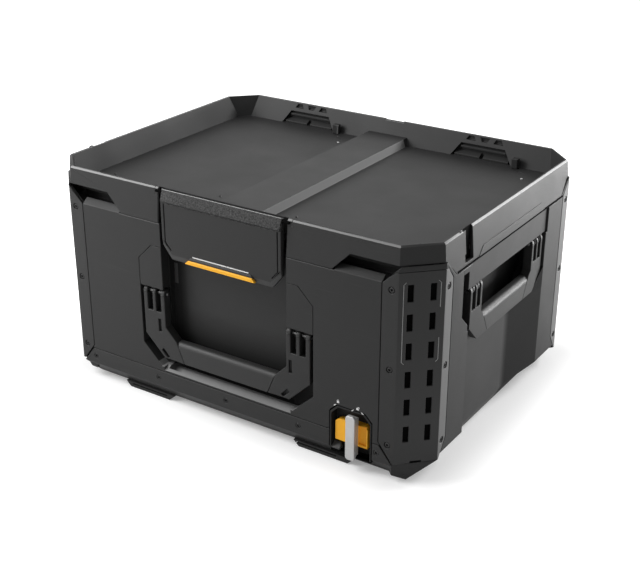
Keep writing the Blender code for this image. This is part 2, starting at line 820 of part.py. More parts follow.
def pin_bore(name, hinge, turn):
    bore = rod(f"{name}_pin_bore", HANDLE_PIN_RADIUS + FIT, (-FAR, 0, 0), (FAR, 0, 0), SMALL_ROUND_SIDES)
    return placed(bore, hinge, turn)


def front_brackets():
    """Two plates beside the front bay, each with the ears that carry one arm of the front handle."""
    low = FRONT_PIVOT_HEIGHT + KNUCKLE_RADIUS + BRACKET_GAP
    inner = BAY_HALF + FIT
    ears = lugs("front_ear", FRONT_BAIL, low - FRONT_PIVOT_HEIGHT + MARGIN)
    for side, way in (("left", -1), ("right", 1)):
        outline = [
            (way * inner, low),
            (way * (ARM_BAY_HALF - FIT), low),
            (way * (ARM_BAY_HALF - FIT), ARM_BAY_TOP - (ARM_BAY_HALF - ARM_BAY_TOP_HALF)),
            (way * (ARM_BAY_TOP_HALF - FIT), ARM_BAY_TOP - FIT),
            (way * inner, ARM_BAY_TOP - FIT),
        ]
        plate = prism(f"front_bracket_{side}", outline, FRONT, FRONT + ARM_BAY_DEPTH - FIT, "Y")
        for end, ear in ears:
            if end == way:
                join(plate, placed(ear, FRONT_HINGE, 0))
        cut(plate, pin_bore(f"front_bracket_{side}", FRONT_HINGE, 0))
        piece(plate, f"front_handle_bracket_{side}", SHELL_PLASTIC)


def side_mounts():
    """The plate over each side handle, with the ears that carry both arms."""
    for side, hinge, turn, way in (("right", RIGHT_HINGE, pi / 2, 1), ("left", LEFT_HINGE, -pi / 2, -1)):
        faces = sorted((way * SIDE_FACE, way * (SIDE_FACE - LINTEL_THICKNESS)))
        half = RECESS_HALF - FIT
        plate = block(
            f"{side}_mount", (faces[0], -half, LINTEL_HEIGHT), (faces[1], half, DECK_TOP - FIT)
        )
        for _, ear in lugs(f"{side}_ear", SIDE_BAIL, LINTEL_HEIGHT - SIDE_PIVOT_HEIGHT + MARGIN):
            join(plate, placed(ear, hinge, turn))
        cut(plate, pin_bore(f"{side}_mount", hinge, turn))
        piece(plate, f"{side}_handle_mount", SHELL_PLASTIC)


# Tub

def front_bays():
    """What the tub's front gives up to the front handle and the latch."""
    arms = [
        (ARM_BAY_BOTTOM_HALF, BAY_FLOOR),
        (ARM_BAY_HALF, ARM_BAY_LOW),
        (ARM_BAY_HALF, ARM_BAY_TOP - (ARM_BAY_HALF - ARM_BAY_TOP_HALF)),
        (ARM_BAY_TOP_HALF, ARM_BAY_TOP),
    ]
    outline = arms + [(-x, z) for x, z in reversed(arms)]
    arm_bay = prism("arm_bay", outline, FRONT - MARGIN, FRONT + ARM_BAY_DEPTH, "Y")
    bay = block(
        "latch_and_hand_bay",
        (-BAY_HALF, FRONT - MARGIN, BAY_FLOOR),
        (BAY_HALF, BAY_WALL, TOWER_TOP + MARGIN),
    )
    lip = prism(
        "bay_lip",
        [
            (FRONT - MARGIN, BAY_FLOOR - LIP_DROP - MARGIN * LIP_DROP / LIP_DEPTH),
            (FRONT + LIP_DEPTH, BAY_FLOOR),
            (FRONT + LIP_DEPTH, BAY_FLOOR + MARGIN),
            (FRONT - MARGIN, BAY_FLOOR + MARGIN),
        ],
        -LIP_HALF,
        LIP_HALF,
        "X",
    )
    return [arm_bay, bay, lip]


def side_recesses():
    floor = HALF_X - RECESS_DEPTH
    outline = [
        (floor, -RECESS_HALF),
        (FAR, -RECESS_HALF),
        (FAR, RECESS_REAR),
        (HALF_X + FIT, RECESS_REAR),
        (floor, RECESS_FLAT_END),
    ]
    wall = mirrored(prism("side_recess", outline, WALL_BOTTOM - MARGIN, LINTEL_HEIGHT), "X")
    pocket = block(
        "hand_pocket",
        (HALF_X - LINTEL_SETBACK - HAND_POCKET_DEPTH, -RECESS_REAR, HAND_POCKET_BOTTOM),
        (FAR, RECESS_REAR, LINTEL_HEIGHT),
    )
    seat = block(
        "mount_seat",
        (SIDE_FACE - LINTEL_THICKNESS - FIT, -RECESS_HALF, LINTEL_HEIGHT - MARGIN),
        (FAR, RECESS_HALF, TOWER_TOP),
    )
    groove_end = GROOVE_FRONT - GROOVE_WIDTH
    groove = prism(
        "side_groove",
        [
            (-GROOVE_FRONT, GROOVE_BOTTOM + GROOVE_WIDTH),
            (-groove_end, GROOVE_BOTTOM),
            (-groove_end, TOWER_TOP),
            (-GROOVE_FRONT, TOWER_TOP),
        ],
        HALF_X - GROOVE_DEPTH,
        FAR,
        "X",
    )
    return [wall, mirrored(pocket, "X"), mirrored(seat, "X"), mirrored(groove, "X")]


def lock_outline(grow=0.0, bottom=LOCK_BOTTOM):
    half = LOCK_HALF + grow
    top = LOCK_TOP + grow
    return [
        (LOCK_X - half, bottom - grow),
        (LOCK_X + half, bottom - grow),
        (LOCK_X + half, top - LOCK_CORNER),
        (LOCK_X + half - LOCK_CORNER, top),
        (LOCK_X - half + LOCK_CORNER, top),
        (LOCK_X - half, top - LOCK_CORNER),
    ]


def cavity():
    """The room inside the tub, kept a wall away from every bay that comes in from outside."""
    room = prism("cavity", octagon(WALL_INSET, CORNER_INSET), WALL_BOTTOM + WALL, SEAM_HEIGHT - DECK_THICKNESS)
    toe = loft(
        "cavity_toe",
        octagon(BASE_BOTTOM_INSET + WALL, BASE_BOTTOM_INSET + WALL),
        BASE_BOTTOM + WALL,
        octagon(BASE_TOP_INSET + WALL, BASE_TOP_INSET + WALL),
        WALL_BOTTOM + WALL + MARGIN,
    )
    bay_keep = block(
        "bay_keep",
        (-ARM_BAY_HALF - WALL, -FAR, BAY_FLOOR - LIP_DROP - WALL),
        (ARM_BAY_HALF + WALL, FRONT + ARM_BAY_DEPTH + WALL, ARM_BAY_TOP + WALL),
    )
    hand_keep = block(
        "hand_bay_keep",
        (-BAY_HALF - WALL, -FAR, BAY_FLOOR - WALL),
        (BAY_HALF + WALL, BAY_WALL + WALL, FAR),
    )
    wall_keep = block(
        "recess_keep",
        (SIDE_FACE - LINTEL_THICKNESS - FIT - WALL, -RECESS_HALF - WALL, -FAR),
        (FAR, RECESS_HALF + WALL, FAR),
    )
    groove_keep = block(
        "groove_keep",
        (HALF_X - GROOVE_DEPTH - WALL, -GROOVE_FRONT - WALL, GROOVE_BOTTOM - WALL),
        (FAR, -RECESS_HALF, FAR),
    )
    pocket_keep = block(
        "pocket_keep",
        (SIDE_FACE - HAND_POCKET_DEPTH - WALL, -RECESS_REAR - WALL, HAND_POCKET_BOTTOM - WALL),
        (FAR, RECESS_REAR + WALL, LINTEL_HEIGHT + WALL),
    )
    lock_keep = prism("lock_keep", lock_outline(WALL), -FAR, FRONT + LOCK_DEPTH + WALL + SCREW_LENGTH, "Y")
    keeps = [mirrored(keep, "X") for keep in (wall_keep, groove_keep, pocket_keep)]
    cut(room, bay_keep, hand_keep, lock_keep, *keeps)
    cut(toe, lock_keep)
    throat = prism(
        "throat",
        octagon(NECK_INSET + NECK_WALL, NECK_INSET + NECK_WALL, NECK_FRONT_INSET + NECK_WALL),
        SEAM_HEIGHT - DECK_THICKNESS - MARGIN,
        NECK_TOP + MARGIN,
    )
    return [room, toe, throat]


def rail_section(way, thickness_only=True):
    """A rail's section in y and z, for the front (way -1) or the rear (way 1)."""
    face = HALF_Y
    toe = HALF_Y - RAIL_TOE
    back = RAIL_THICKNESS
    return [
        (way * face, RAIL_TOP),
        (way * face, RAIL_FACE_BOTTOM),
        (way * toe, RAIL_BOTTOM),
        (way * (toe - back), RAIL_BOTTOM),
        (way * (face - back), RAIL_FACE_BOTTOM),
        (way * (face - back), RAIL_TOP),
    ]


def screw_places():
    first = -(SCREW_COUNT - 1) / 2
    return [(first + index) * SCREW_PITCH for index in range(SCREW_COUNT)]


def hinge_spans(way):
    """The stretches of x that a hinge's two tub knuckles and its lid knuckle take."""
    middle = way * HINGE_X
    half = HINGE_LENGTH / 2
    inner = HINGE_MIDDLE / 2
    tub = [(middle - half, middle - inner - RUNNING_GAP), (middle + inner + RUNNING_GAP, middle + half)]
    return tub, (middle - inner, middle + inner)


def tub():
    body = prism("tub_walls", octagon(), WALL_BOTTOM, TOWER_TOP)
    base = loft(
        "tub_base",
        octagon(BASE_BOTTOM_INSET),
        BASE_BOTTOM,
        octagon(BASE_TOP_INSET),
        WALL_BOTTOM + MARGIN,
    )
    join(body, base)
    deck_room = prism("deck_room", octagon(TOWER_WALL), DECK_TOP, TOWER_TOP + MARGIN)
    lip_room = prism("tower_lip_room", octagon(TOWER_LIP), TOWER_TOP - TOWER_LIP_HEIGHT, TOWER_TOP + MARGIN)
    gaps = [
        prism("front_and_rear_seam", seam_outline(FRONT_SEAM_HALF), -FAR, FAR, "Y"),
        prism("side_seam", seam_outline(SIDE_SEAM_HALF), -FAR, FAR, "X"),
    ]
    cut(body, deck_room, lip_room, *gaps)
    neck = prism(
        "neck",
        octagon(NECK_INSET, NECK_INSET, NECK_FRONT_INSET),
        DECK_TOP - MARGIN,
        NECK_TOP,
    )
    ledge = prism(
        "finger_ledge",
        [
            (FRONT, DECK_TOP - MARGIN),
            (FRONT + LEDGE_DEPTH, DECK_TOP - MARGIN),
            (FRONT + LEDGE_DEPTH, DECK_TOP + LEDGE_RISE),
            (FRONT, DECK_TOP),
        ],
        LEDGE_START,
        FRONT_SEAM_HALF,
        "X",
    )
    join(body, neck, mirrored(ledge, "X"))
    for way in (-1, 1):
        for index, (start, end) in enumerate(hinge_spans(way)[0]):
            knuckle = rod(
                f"tub_knuckle_{way}_{index}", HINGE_RADIUS, (start, HINGE_Y, HINGE_Z), (end, HINGE_Y, HINGE_Z)
            )
            web = block(
                f"tub_knuckle_web_{way}_{index}",
                (start, HALF_Y - MARGIN, HINGE_Z - HINGE_LEAF),
                (end, HINGE_Y - HINGE_WEB, HINGE_Z - RUNNING_GAP),
            )
            join(body, web, knuckle)
    rail_room = block("rail_room", (-FAR, -FAR, -FAR), (FAR, FRONT + RAIL_THICKNESS + FIT, RAIL_TOP + FIT))
    guard_rooms = mirrored(settled(guard_strip("guard_room", GUARD_THICKNESS + FIT, FIT, MARGIN)), "X", "Y")
    slot_low = SLOT_TOP - (SLOT_ROWS - 1) * SLOT_PITCH - SLOT_HEIGHT - SLOT_POCKET_MARGIN
    slot_pocket = across_corner(
        "slot_pocket",
        0,
        2 * SLOT_OFFSET + SLOT_WIDTH + 2 * SLOT_POCKET_MARGIN,
        slot_low,
        SLOT_TOP + SLOT_POCKET_MARGIN,
        GUARD_THICKNESS + FIT + SLOT_POCKET_DEPTH,
    )
    lock_room = prism("lock_room", lock_outline(FIT, -MARGIN), -FAR, FRONT + LOCK_DEPTH, "Y")
    cut(body, *front_bays(), *side_recesses(), mirrored(rail_room, "Y"), guard_rooms)
    cut(body, mirrored(slot_pocket, "X", "Y"), lock_room, *cavity())
    holes = [
        rod(
            f"tub_screw_hole_{index}",
            SCREW_SHANK_RADIUS + FIT,
            (x, FRONT, SCREW_HEIGHT),
            (x, FRONT + SCREW_LENGTH + MARGIN, SCREW_HEIGHT),
            SMALL_ROUND_SIDES,
        )
        for index, x in enumerate(screw_places())
    ]
    cut(body, *[mirrored(hole, "Y") for hole in holes])
    shaft_end = FRONT + LOCK_DEPTH + LOCK_SHAFT_BITE + FIT
    cut(
        body,
        rod("lid_pin_bore", HINGE_PIN_RADIUS + FIT, (-FAR, HINGE_Y, HINGE_Z), (FAR, HINGE_Y, HINGE_Z)),
        rod(
            "shaft_bore",
            LOCK_SHAFT_RADIUS + FIT,
            (LOCK_X, FRONT, LOCK_HEIGHT),
            (LOCK_X, shaft_end, LOCK_HEIGHT),
            SMALL_ROUND_SIDES,
        ),
    )
    piece(body, "tub", SHELL_PLASTIC)


# Rails, screws and feet

def rails_and_screws():
    for end, way in (("front", -1), ("rear", 1)):
        rail = prism(f"{end}_rail_bar", rail_section(way), -RAIL_BOTTOM_HALF, RAIL_BOTTOM_HALF, "X")
        ends = [
            (RAIL_HALF, RAIL_TOP + MARGIN),
            (RAIL_HALF, RAIL_TOP),
            (RAIL_BOTTOM_HALF - MARGIN, RAIL_FACE_BOTTOM),
            (RAIL_BOTTOM_HALF - MARGIN, -MARGIN),
            (FAR, -MARGIN),
            (FAR, RAIL_TOP + MARGIN),
        ]
        cut(rail, mirrored(prism(f"{end}_rail_ends", ends, -FAR, FAR, "Y"), "X"))
        if way < 0:
            cut(rail, prism("rail_lock_room", lock_outline(FIT), -FAR, FAR, "Y"))
        for index, x in enumerate(screw_places()):
            face = way * HALF_Y
            seat = face - way * (SCREW_HEAD_DEPTH + FIT)
            cut(
                rail,
                rod(
                    f"{end}_seat_{index}",
                    SCREW_HEAD_RADIUS + FIT,
                    (x, face + way * MARGIN, SCREW_HEIGHT),
                    (x, seat - way * FIT, SCREW_HEIGHT),
                    SMALL_ROUND_SIDES,
                ),
                rod(
                    f"{end}_hole_{index}",
                    SCREW_SHANK_RADIUS + FIT,
                    (x, face, SCREW_HEIGHT),
                    (x, face - way * SCREW_LENGTH, SCREW_HEIGHT),
                    SMALL_ROUND_SIDES,
                ),
            )
            head = rod(
                f"{end}_screw_head_{index}",
                SCREW_HEAD_RADIUS,
                (x, face - way * FIT, SCREW_HEIGHT),
                (x, seat, SCREW_HEIGHT),
                SMALL_ROUND_SIDES,
            )
            shank = rod(
                f"{end}_shank_{index}",
                SCREW_SHANK_RADIUS,
                (x, seat + way * FIT, SCREW_HEIGHT),
                (x, face - way * SCREW_LENGTH, SCREW_HEIGHT),
                SMALL_ROUND_SIDES,
            )
            place = (x, face, SCREW_HEIGHT)
            piece(join(head, shank), f"{end}_rail_screw_{index + 1}", DARK_STEEL, None, place)
        piece(rail, f"{end}_base_rail", SHELL_PLASTIC)


def feet():
    for end, way in (("front", -1), ("rear", 1)):
        for side, x in (("left", -FOOT_X), ("right", FOOT_X)):
            near = way * FOOT_FRONT
            far = way * (FOOT_FRONT - FOOT_DEPTH)
            outline = [
                (x - FOOT_LENGTH / 2, 0),
                (x + FOOT_LENGTH / 2, 0),
                (x + FOOT_LENGTH / 2 + FOOT_END_SLOPE, FOOT_HEIGHT),
                (x - FOOT_LENGTH / 2 - FOOT_END_SLOPE, FOOT_HEIGHT),
            ]
            foot = prism(f"{end}_{side}_pad", outline, min(near, far), max(near, far), "Y")
            piece(foot, f"foot_{end}_{side}", GRIP_RUBBER, None, (x, near, 0))


# Lid

def lid_outline(height, inset=0.0, corner_inset=None):
    """The lid's outer outline, which leans in towards the rim."""
    lean = LID_TAPER * (height - SEAM_HEIGHT) / (RIM_HEIGHT - SEAM_HEIGHT)
    return octagon(lean + inset, None if corner_inset is None else lean + corner_inset)


def tray_outline(height, grow=0.0):
    """The tray's inner outline, whose walls lean in so far that its corner faces end in points."""
    down = RIM_HEIGHT - height
    inset = LID_TAPER + RIM_WALL + TRAY_DRAFT * down / TRAY_DEPTH - grow
    rim_leg = CORNER_LEG - (2 - sqrt(2)) * (LID_TAPER + RIM_WALL)
    leg = rim_leg + (TRAY_CORNER_LEG - rim_leg) * min(down / TRAY_DEPTH, 1) + (2 - sqrt(2)) * grow
    square_reach = HALF_X + HALF_Y - 2 * inset - leg
    x = HALF_X - inset
    y = HALF_Y - inset
    return [
        (square_reach - y, -y),
        (x, x - square_reach),
        (x, square_reach - x),
        (square_reach - y, y),
        (y - square_reach, y),
        (-x, square_reach - x),
        (-x, x - square_reach),
        (y - square_reach, -y),
    ]


def lid():
    shell = loft(
        "lid_block", lid_outline(SEAM_HEIGHT), SEAM_HEIGHT, lid_outline(RIM_HEIGHT), RIM_HEIGHT
    )
    tray = loft(
        "tray",
        tray_outline(TRAY_TOP),
        TRAY_TOP,
        tray_outline(RIM_HEIGHT + MARGIN),
        RIM_HEIGHT + MARGIN,
    )
    tray_skin = loft(
        "tray_skin",
        tray_outline(TRAY_UNDER, TRAY_FLOOR),
        TRAY_UNDER,
        tray_outline(RIM_HEIGHT + MARGIN, TRAY_FLOOR),
        RIM_HEIGHT + MARGIN,
    )
    hollow_top = RIM_HEIGHT - RIM_WALL
    under = loft(
        "lid_underside",
        lid_outline(SEAM_HEIGHT - MARGIN, LID_WALL),
        SEAM_HEIGHT - MARGIN,
        lid_outline(hollow_top, LID_WALL),
        hollow_top,
    )
    cut(under, tray_skin)
    socket_keep = block(
        "socket_keep",
        (SOCKET_X - SOCKET_BOTTOM_HALF - WALL, HALF_Y - LID_TAPER - RIM_WALL - TRAY_DRAFT, TRAY_UNDER),
        (SOCKET_X + SOCKET_BOTTOM_HALF + WALL, FAR, TRAY_TOP + SOCKET_HEIGHT + WALL),
    )
    cut(under, mirrored(socket_keep, "X"))
    corner_gaps = []
    rise = LID_CORNER_BOTTOM - SEAM_HEIGHT
    below = SEAM_HEIGHT - MARGIN
    chamfer_x = HALF_X - CORNER_LEG
    chamfer_y = HALF_Y - CORNER_LEG
    for name, half, axis, near, far in (
        ("lid_front_corner", NOTCH_START, "Y", -FAR, -chamfer_y),
        ("lid_rear_corner", FRONT_SEAM_HALF, "Y", chamfer_y, FAR),
        ("lid_side_corner", SIDE_SEAM_HALF, "X", chamfer_x, FAR),
    ):
        outline = [
            (half - MARGIN, below),
            (half, SEAM_HEIGHT),
            (half + rise, LID_CORNER_BOTTOM),
            (FAR, LID_CORNER_BOTTOM),
            (FAR, below),
        ]
        gap = cut(prism(name, outline, near, far, axis), tray_skin)
        corner_gaps.append(mirrored(gap, "X", "Y") if axis == "X" else mirrored(gap, "X"))
    cut(shell, tray, under, *corner_gaps)
    ridge = prism(
        "ridge",
        [
            (-RIDGE_HALF, TRAY_TOP - MARGIN),
            (RIDGE_HALF, TRAY_TOP - MARGIN),
            (RIDGE_TOP_HALF, TRAY_TOP + RIDGE_HEIGHT),
            (-RIDGE_TOP_HALF, TRAY_TOP + RIDGE_HEIGHT),
        ],
        FRONT + LID_TAPER + RIM_WALL,
        HALF_Y - LID_TAPER - RIM_WALL,
        "Y",
    )
    join(shell, ridge)
    for way in (-1, 1):
        start, end = hinge_spans(way)[1]
        leaf_top = SEAM_HEIGHT + HINGE_LEAF
        leaf = block(
            f"lid_leaf_{way}",
            (start, HALF_Y - LID_TAPER, SEAM_HEIGHT + RUNNING_GAP),
            (end, HINGE_Y + HINGE_WEB, leaf_top),
        )
        knuckle = rod(
            f"lid_knuckle_{way}", HINGE_RADIUS, (start, HINGE_Y, HINGE_Z), (end, HINGE_Y, HINGE_Z)
        )
        join(shell, leaf, knuckle)
    latch_bay = block(
        "lid_latch_bay",
        (-LATCH_BAY_HALF, -FAR, SEAM_HEIGHT - MARGIN),
        (LATCH_BAY_HALF, FRONT + LATCH_BAY_INSET + LID_TAPER, RIM_HEIGHT + MARGIN),
    )
    cut(shell, latch_bay)
    cheek_top = RIM_HEIGHT - MARGIN
    cheek = block(
        "latch_cheek",
        (LATCH_BAY_HALF, FRONT + LID_TAPER, cheek_top - LATCH_CHEEK_HEIGHT),
        (LATCH_BAY_HALF + LATCH_CHEEK, FRONT + LID_TAPER + LATCH_CHEEK_DEPTH, cheek_top),
    )
    cheek_trim = loft(
        "cheek_trim", tray_outline(TRAY_TOP, MARGIN), TRAY_TOP, tray_outline(RIM_HEIGHT, MARGIN), RIM_HEIGHT
    )
    join(shell, mirrored(cut(cheek, cheek_trim), "X"))
    grooves = block(
        "lid_groove",
        (HALF_X - LID_TAPER - LID_GROOVE_DEPTH, -GROOVE_FRONT, LID_GROOVE_BOTTOM),
        (FAR, -GROOVE_FRONT + GROOVE_WIDTH, RIM_HEIGHT + MARGIN),
    )
    rim_notch = block(
        "rim_notch",
        (-RIM_NOTCH_HALF, HALF_Y - LID_TAPER - RIM_WALL * 2, RIM_HEIGHT - RIM_NOTCH_DEPTH),
        (RIM_NOTCH_HALF, FAR, RIM_HEIGHT + MARGIN),
    )
    sockets = [
        prism(
            "stack_socket",
            [
                (SOCKET_X - SOCKET_BOTTOM_HALF, TRAY_TOP),
                (SOCKET_X + SOCKET_BOTTOM_HALF, TRAY_TOP),
                (SOCKET_X + SOCKET_TOP_HALF, TRAY_TOP + SOCKET_HEIGHT),
                (SOCKET_X - SOCKET_TOP_HALF, TRAY_TOP + SOCKET_HEIGHT),
            ],
            HALF_Y - LID_TAPER - RIM_WALL - TRAY_DRAFT - MARGIN,
            HALF_Y - LID_TAPER - RIM_WALL - MARGIN,
            "Y",
        )
    ]
    cut(shell, mirrored(grooves, "X"), rim_notch, *[mirrored(socket, "X") for socket in sockets])
    cut(
        shell,
        rod("lid_hinge_bore", HINGE_PIN_RADIUS + FIT, (-FAR, HINGE_Y, HINGE_Z), (FAR, HINGE_Y, HINGE_Z)),
        rod(
            "latch_pin_bore",
            LATCH_PIN_RADIUS + FIT,
            (-LATCH_BAY_HALF - LATCH_CHEEK - MARGIN, LATCH_AXIS_Y, LATCH_AXIS_Z),
            (LATCH_BAY_HALF + LATCH_CHEEK + MARGIN, LATCH_AXIS_Y, LATCH_AXIS_Z),
            SMALL_ROUND_SIDES,
        ),
    )
    piece(shell, "lid_shell", SHELL_PLASTIC, LID_HINGE, LID_AXIS)


def lid_fittings():
    middle = NECK_INSET + NECK_WALL / 2
    front_middle = NECK_FRONT_INSET + NECK_WALL / 2
    half = GASKET_WIDTH / 2
    top = TRAY_UNDER - FIT
    bottom = top - GASKET_THICKNESS
    ring = prism("seal_outer", octagon(middle - half, middle - half, front_middle - half), bottom, top)
    hole = prism(
        "seal_hole",
        octagon(middle + half, middle + half, front_middle + half),
        bottom - MARGIN,
        top + MARGIN,
    )
    piece(cut(ring, hole), "lid_seal", SEAL_RUBBER, LID_HINGE, LID_AXIS)
    wall = HALF_Y - LID_TAPER - RIM_WALL - TRAY_DRAFT
    for side, x in (("left", -SOCKET_X), ("right", SOCKET_X)):
        near = (x + STOP_OFFSET - STOP_SIDE / 2, wall - STOP_SIDE - FIT, TRAY_TOP + FIT)
        far = (x + STOP_OFFSET + STOP_SIDE / 2, wall - FIT, TRAY_TOP + STOP_HEIGHT)
        piece(block(f"{side}_stop", near, far), f"stack_stop_{side}", GUARD_PLASTIC, LID_HINGE, LID_AXIS)
    for side, way in (("left", -1), ("right", 1)):
        reach = HINGE_LENGTH / 2
        pin = rod(
            f"{side}_hinge_rod",
            HINGE_PIN_RADIUS,
            (way * HINGE_X - reach, HINGE_Y, HINGE_Z),
            (way * HINGE_X + reach, HINGE_Y, HINGE_Z),
        )
        piece(pin, f"hinge_pin_{side}", PIN_STEEL, None, LID_AXIS)


# Latch

def latch():
    top = RIM_HEIGHT
    side = [
        (LATCH_HALF - LATCH_CORNER_WIDTH, LATCH_BOTTOM),
        (LATCH_HALF, LATCH_BOTTOM + LATCH_CORNER_HEIGHT),
        (LATCH_HALF, LATCH_AXIS_Z),
    ]
    flap = prism(
        "latch_plate", side + [(-x, z) for x, z in reversed(side)], LATCH_FACE, LATCH_BACK, "Y"
    )
    barrel = rod(
        "latch_barrel",
        LATCH_BARREL_RADIUS,
        (-LATCH_HALF, LATCH_AXIS_Y, LATCH_AXIS_Z),
        (LATCH_HALF, LATCH_AXIS_Y, LATCH_AXIS_Z),
    )
    slope = prism(
        "latch_slope",
        [
            (LATCH_FACE - MARGIN, top - LATCH_SLOPE_HEIGHT - MARGIN * LATCH_SLOPE_HEIGHT / LATCH_SLOPE_DEPTH),
            (LATCH_FACE + LATCH_SLOPE_DEPTH, top),
            (LATCH_FACE - MARGIN, top),
        ],
        -FAR,
        FAR,
        "X",
    )
    chin = prism(
        "latch_chin",
        [
            (LATCH_FACE - MARGIN, LATCH_BOTTOM + LATCH_CHIN_HEIGHT + MARGIN),
            (LATCH_FACE + LATCH_CHIN_DEPTH, LATCH_BOTTOM),
            (LATCH_FACE + LATCH_CHIN_DEPTH, LATCH_BOTTOM - MARGIN),
            (LATCH_FACE - MARGIN, LATCH_BOTTOM - MARGIN),
        ],
        -FAR,
        FAR,
        "X",
    )
    hook = block(
        "latch_hook",
        (-HOOK_HALF, LATCH_BACK - MARGIN, LATCH_BOTTOM + HOOK_RISE),
        (HOOK_HALF, LATCH_BACK + HOOK_REACH, LATCH_BOTTOM + HOOK_RISE + HOOK_HEIGHT),
    )
    cut(flap, slope)
    join(flap, barrel)
    cut(flap, chin)
    join(flap, hook)
    strip_back = LATCH_FACE + LATCH_CHIN_DEPTH + PULL_THICKNESS
    strip_room = pull_strip("pull_room", FIT, LATCH_FACE - MARGIN, strip_back + FIT)
    cut(flap, strip_room)
    cut(
        flap,
        rod(
            "flap_bore",
            LATCH_PIN_RADIUS + FIT,
            (-FAR, LATCH_AXIS_Y, LATCH_AXIS_Z),
            (FAR, LATCH_AXIS_Y, LATCH_AXIS_Z),
            SMALL_ROUND_SIDES,
        ),
    )
    piece(flap, "latch_flap", SHELL_PLASTIC, LATCH_HINGE, LATCH_AXIS)
    strip = pull_strip("pull_strip", 0, LATCH_FACE + LATCH_CHIN_DEPTH / 2, strip_back)
    piece(strip, "latch_pull_strip", ACCENT_PLASTIC, LATCH_HINGE, LATCH_AXIS)
    reach = LATCH_BAY_HALF + LATCH_CHEEK - FIT
    pin = rod(
        "latch_rod",
        LATCH_PIN_RADIUS,
        (-reach, LATCH_AXIS_Y, LATCH_AXIS_Z),
        (reach, LATCH_AXIS_Y, LATCH_AXIS_Z),
        SMALL_ROUND_SIDES,
    )
    piece(pin, "latch_pin", PIN_STEEL, LID_HINGE, LATCH_AXIS)
    hook_top = LATCH_BOTTOM + HOOK_RISE + HOOK_HEIGHT
    keeper = block(
        "keeper_bar",
        (-KEEPER_HALF, LATCH_BACK + HOOK_REACH + RUNNING_GAP, hook_top + RUNNING_GAP),
        (KEEPER_HALF, BAY_WALL - FIT, hook_top + RUNNING_GAP + KEEPER_HEIGHT),
    )
    piece(keeper, "latch_keeper", DARK_STEEL)


def pull_strip(name, grow, near, far):
    below = MARGIN if grow else 0
    low = LATCH_BOTTOM - below
    high = LATCH_BOTTOM + PULL_HEIGHT + grow
    half = PULL_HALF + below + grow * 2
    top_half = half - (high - low)
    outline = [(-half, low), (half, low), (top_half, high), (-top_half, high)]
    return prism(name, outline, near, far, "Y")


# Stack lock

def stack_lock():
    back = FRONT + LOCK_DEPTH - FIT
    floor = back - LOCK_FLOOR
    housing = prism("lock_cup", lock_outline(), FRONT, back, "Y")
    cut(housing, prism("lock_cup_room", lock_outline(-LOCK_WALL, -FAR), -FAR, floor, "Y"))
    bore = rod(
        "lock_bore",
        LOCK_SHAFT_RADIUS + FIT,
        (LOCK_X, -FAR, LOCK_HEIGHT),
        (LOCK_X, FAR, LOCK_HEIGHT),
        SMALL_ROUND_SIDES,
    )
    piece(cut(housing, bore), "stack_lock_housing", GUARD_PLASTIC)
    half = CAM_LENGTH / 2
    tall = CAM_HEIGHT / 2
    cam_outline = [
        (LOCK_X - half, LOCK_HEIGHT - tall),
        (LOCK_X + half, LOCK_HEIGHT - tall),
        (LOCK_X + half, LOCK_HEIGHT + tall - CAM_CORNER),
        (LOCK_X + half - CAM_CORNER, LOCK_HEIGHT + tall),
        (LOCK_X - half + CAM_CORNER, LOCK_HEIGHT + tall),
        (LOCK_X - half, LOCK_HEIGHT + tall - CAM_CORNER),
    ]
    cam_face = FRONT + CAM_SETBACK
    cam = cut(prism("lock_cam", cam_outline, cam_face, floor - FIT, "Y"), bore)
    piece(cam, "stack_lock_cam", ACCENT_PLASTIC, LOCK_HINGE, LOCK_AXIS)
    lever_back = cam_face - FIT
    lever = block(
        "lock_lever",
        (LOCK_X - LEVER_WIDTH / 2, LEVER_FACE, LOCK_HEIGHT - LEVER_LENGTH / 2),
        (LOCK_X + LEVER_WIDTH / 2, lever_back, LOCK_HEIGHT + LEVER_LENGTH / 2),
    )
    socket = LEVER_FACE + LEVER_THICKNESS / 2
    cut(
        lever,
        rod(
            "lever_socket",
            LOCK_SHAFT_RADIUS + FIT,
            (LOCK_X, socket, LOCK_HEIGHT),
            (LOCK_X, FAR, LOCK_HEIGHT),
            SMALL_ROUND_SIDES,
        ),
    )
    piece(lever, "stack_lock_lever", BRIGHT_METAL, LOCK_HINGE, LOCK_AXIS)
    shaft = rod(
        "lock_shaft",
        LOCK_SHAFT_RADIUS,
        (LOCK_X, socket + FIT, LOCK_HEIGHT),
        (LOCK_X, FRONT + LOCK_DEPTH + LOCK_SHAFT_BITE, LOCK_HEIGHT),
        SMALL_ROUND_SIDES,
    )
    piece(shaft, "stack_lock_shaft", PIN_STEEL, LOCK_HINGE, LOCK_AXIS)


tub()
lid()
lid_fittings()
latch()
corner_guards()
rails_and_screws()
feet()
front_brackets()
side_mounts()
bail_handles()
stack_lock()
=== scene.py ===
"""Looks of the stackable toolbox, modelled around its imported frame.

Metres, +Z up, front towards -Y. Places are given from the middle of the box's plan.
"""

from math import cos, radians, sin, sqrt

import bmesh
import bpy
from mathutils import Matrix, Vector


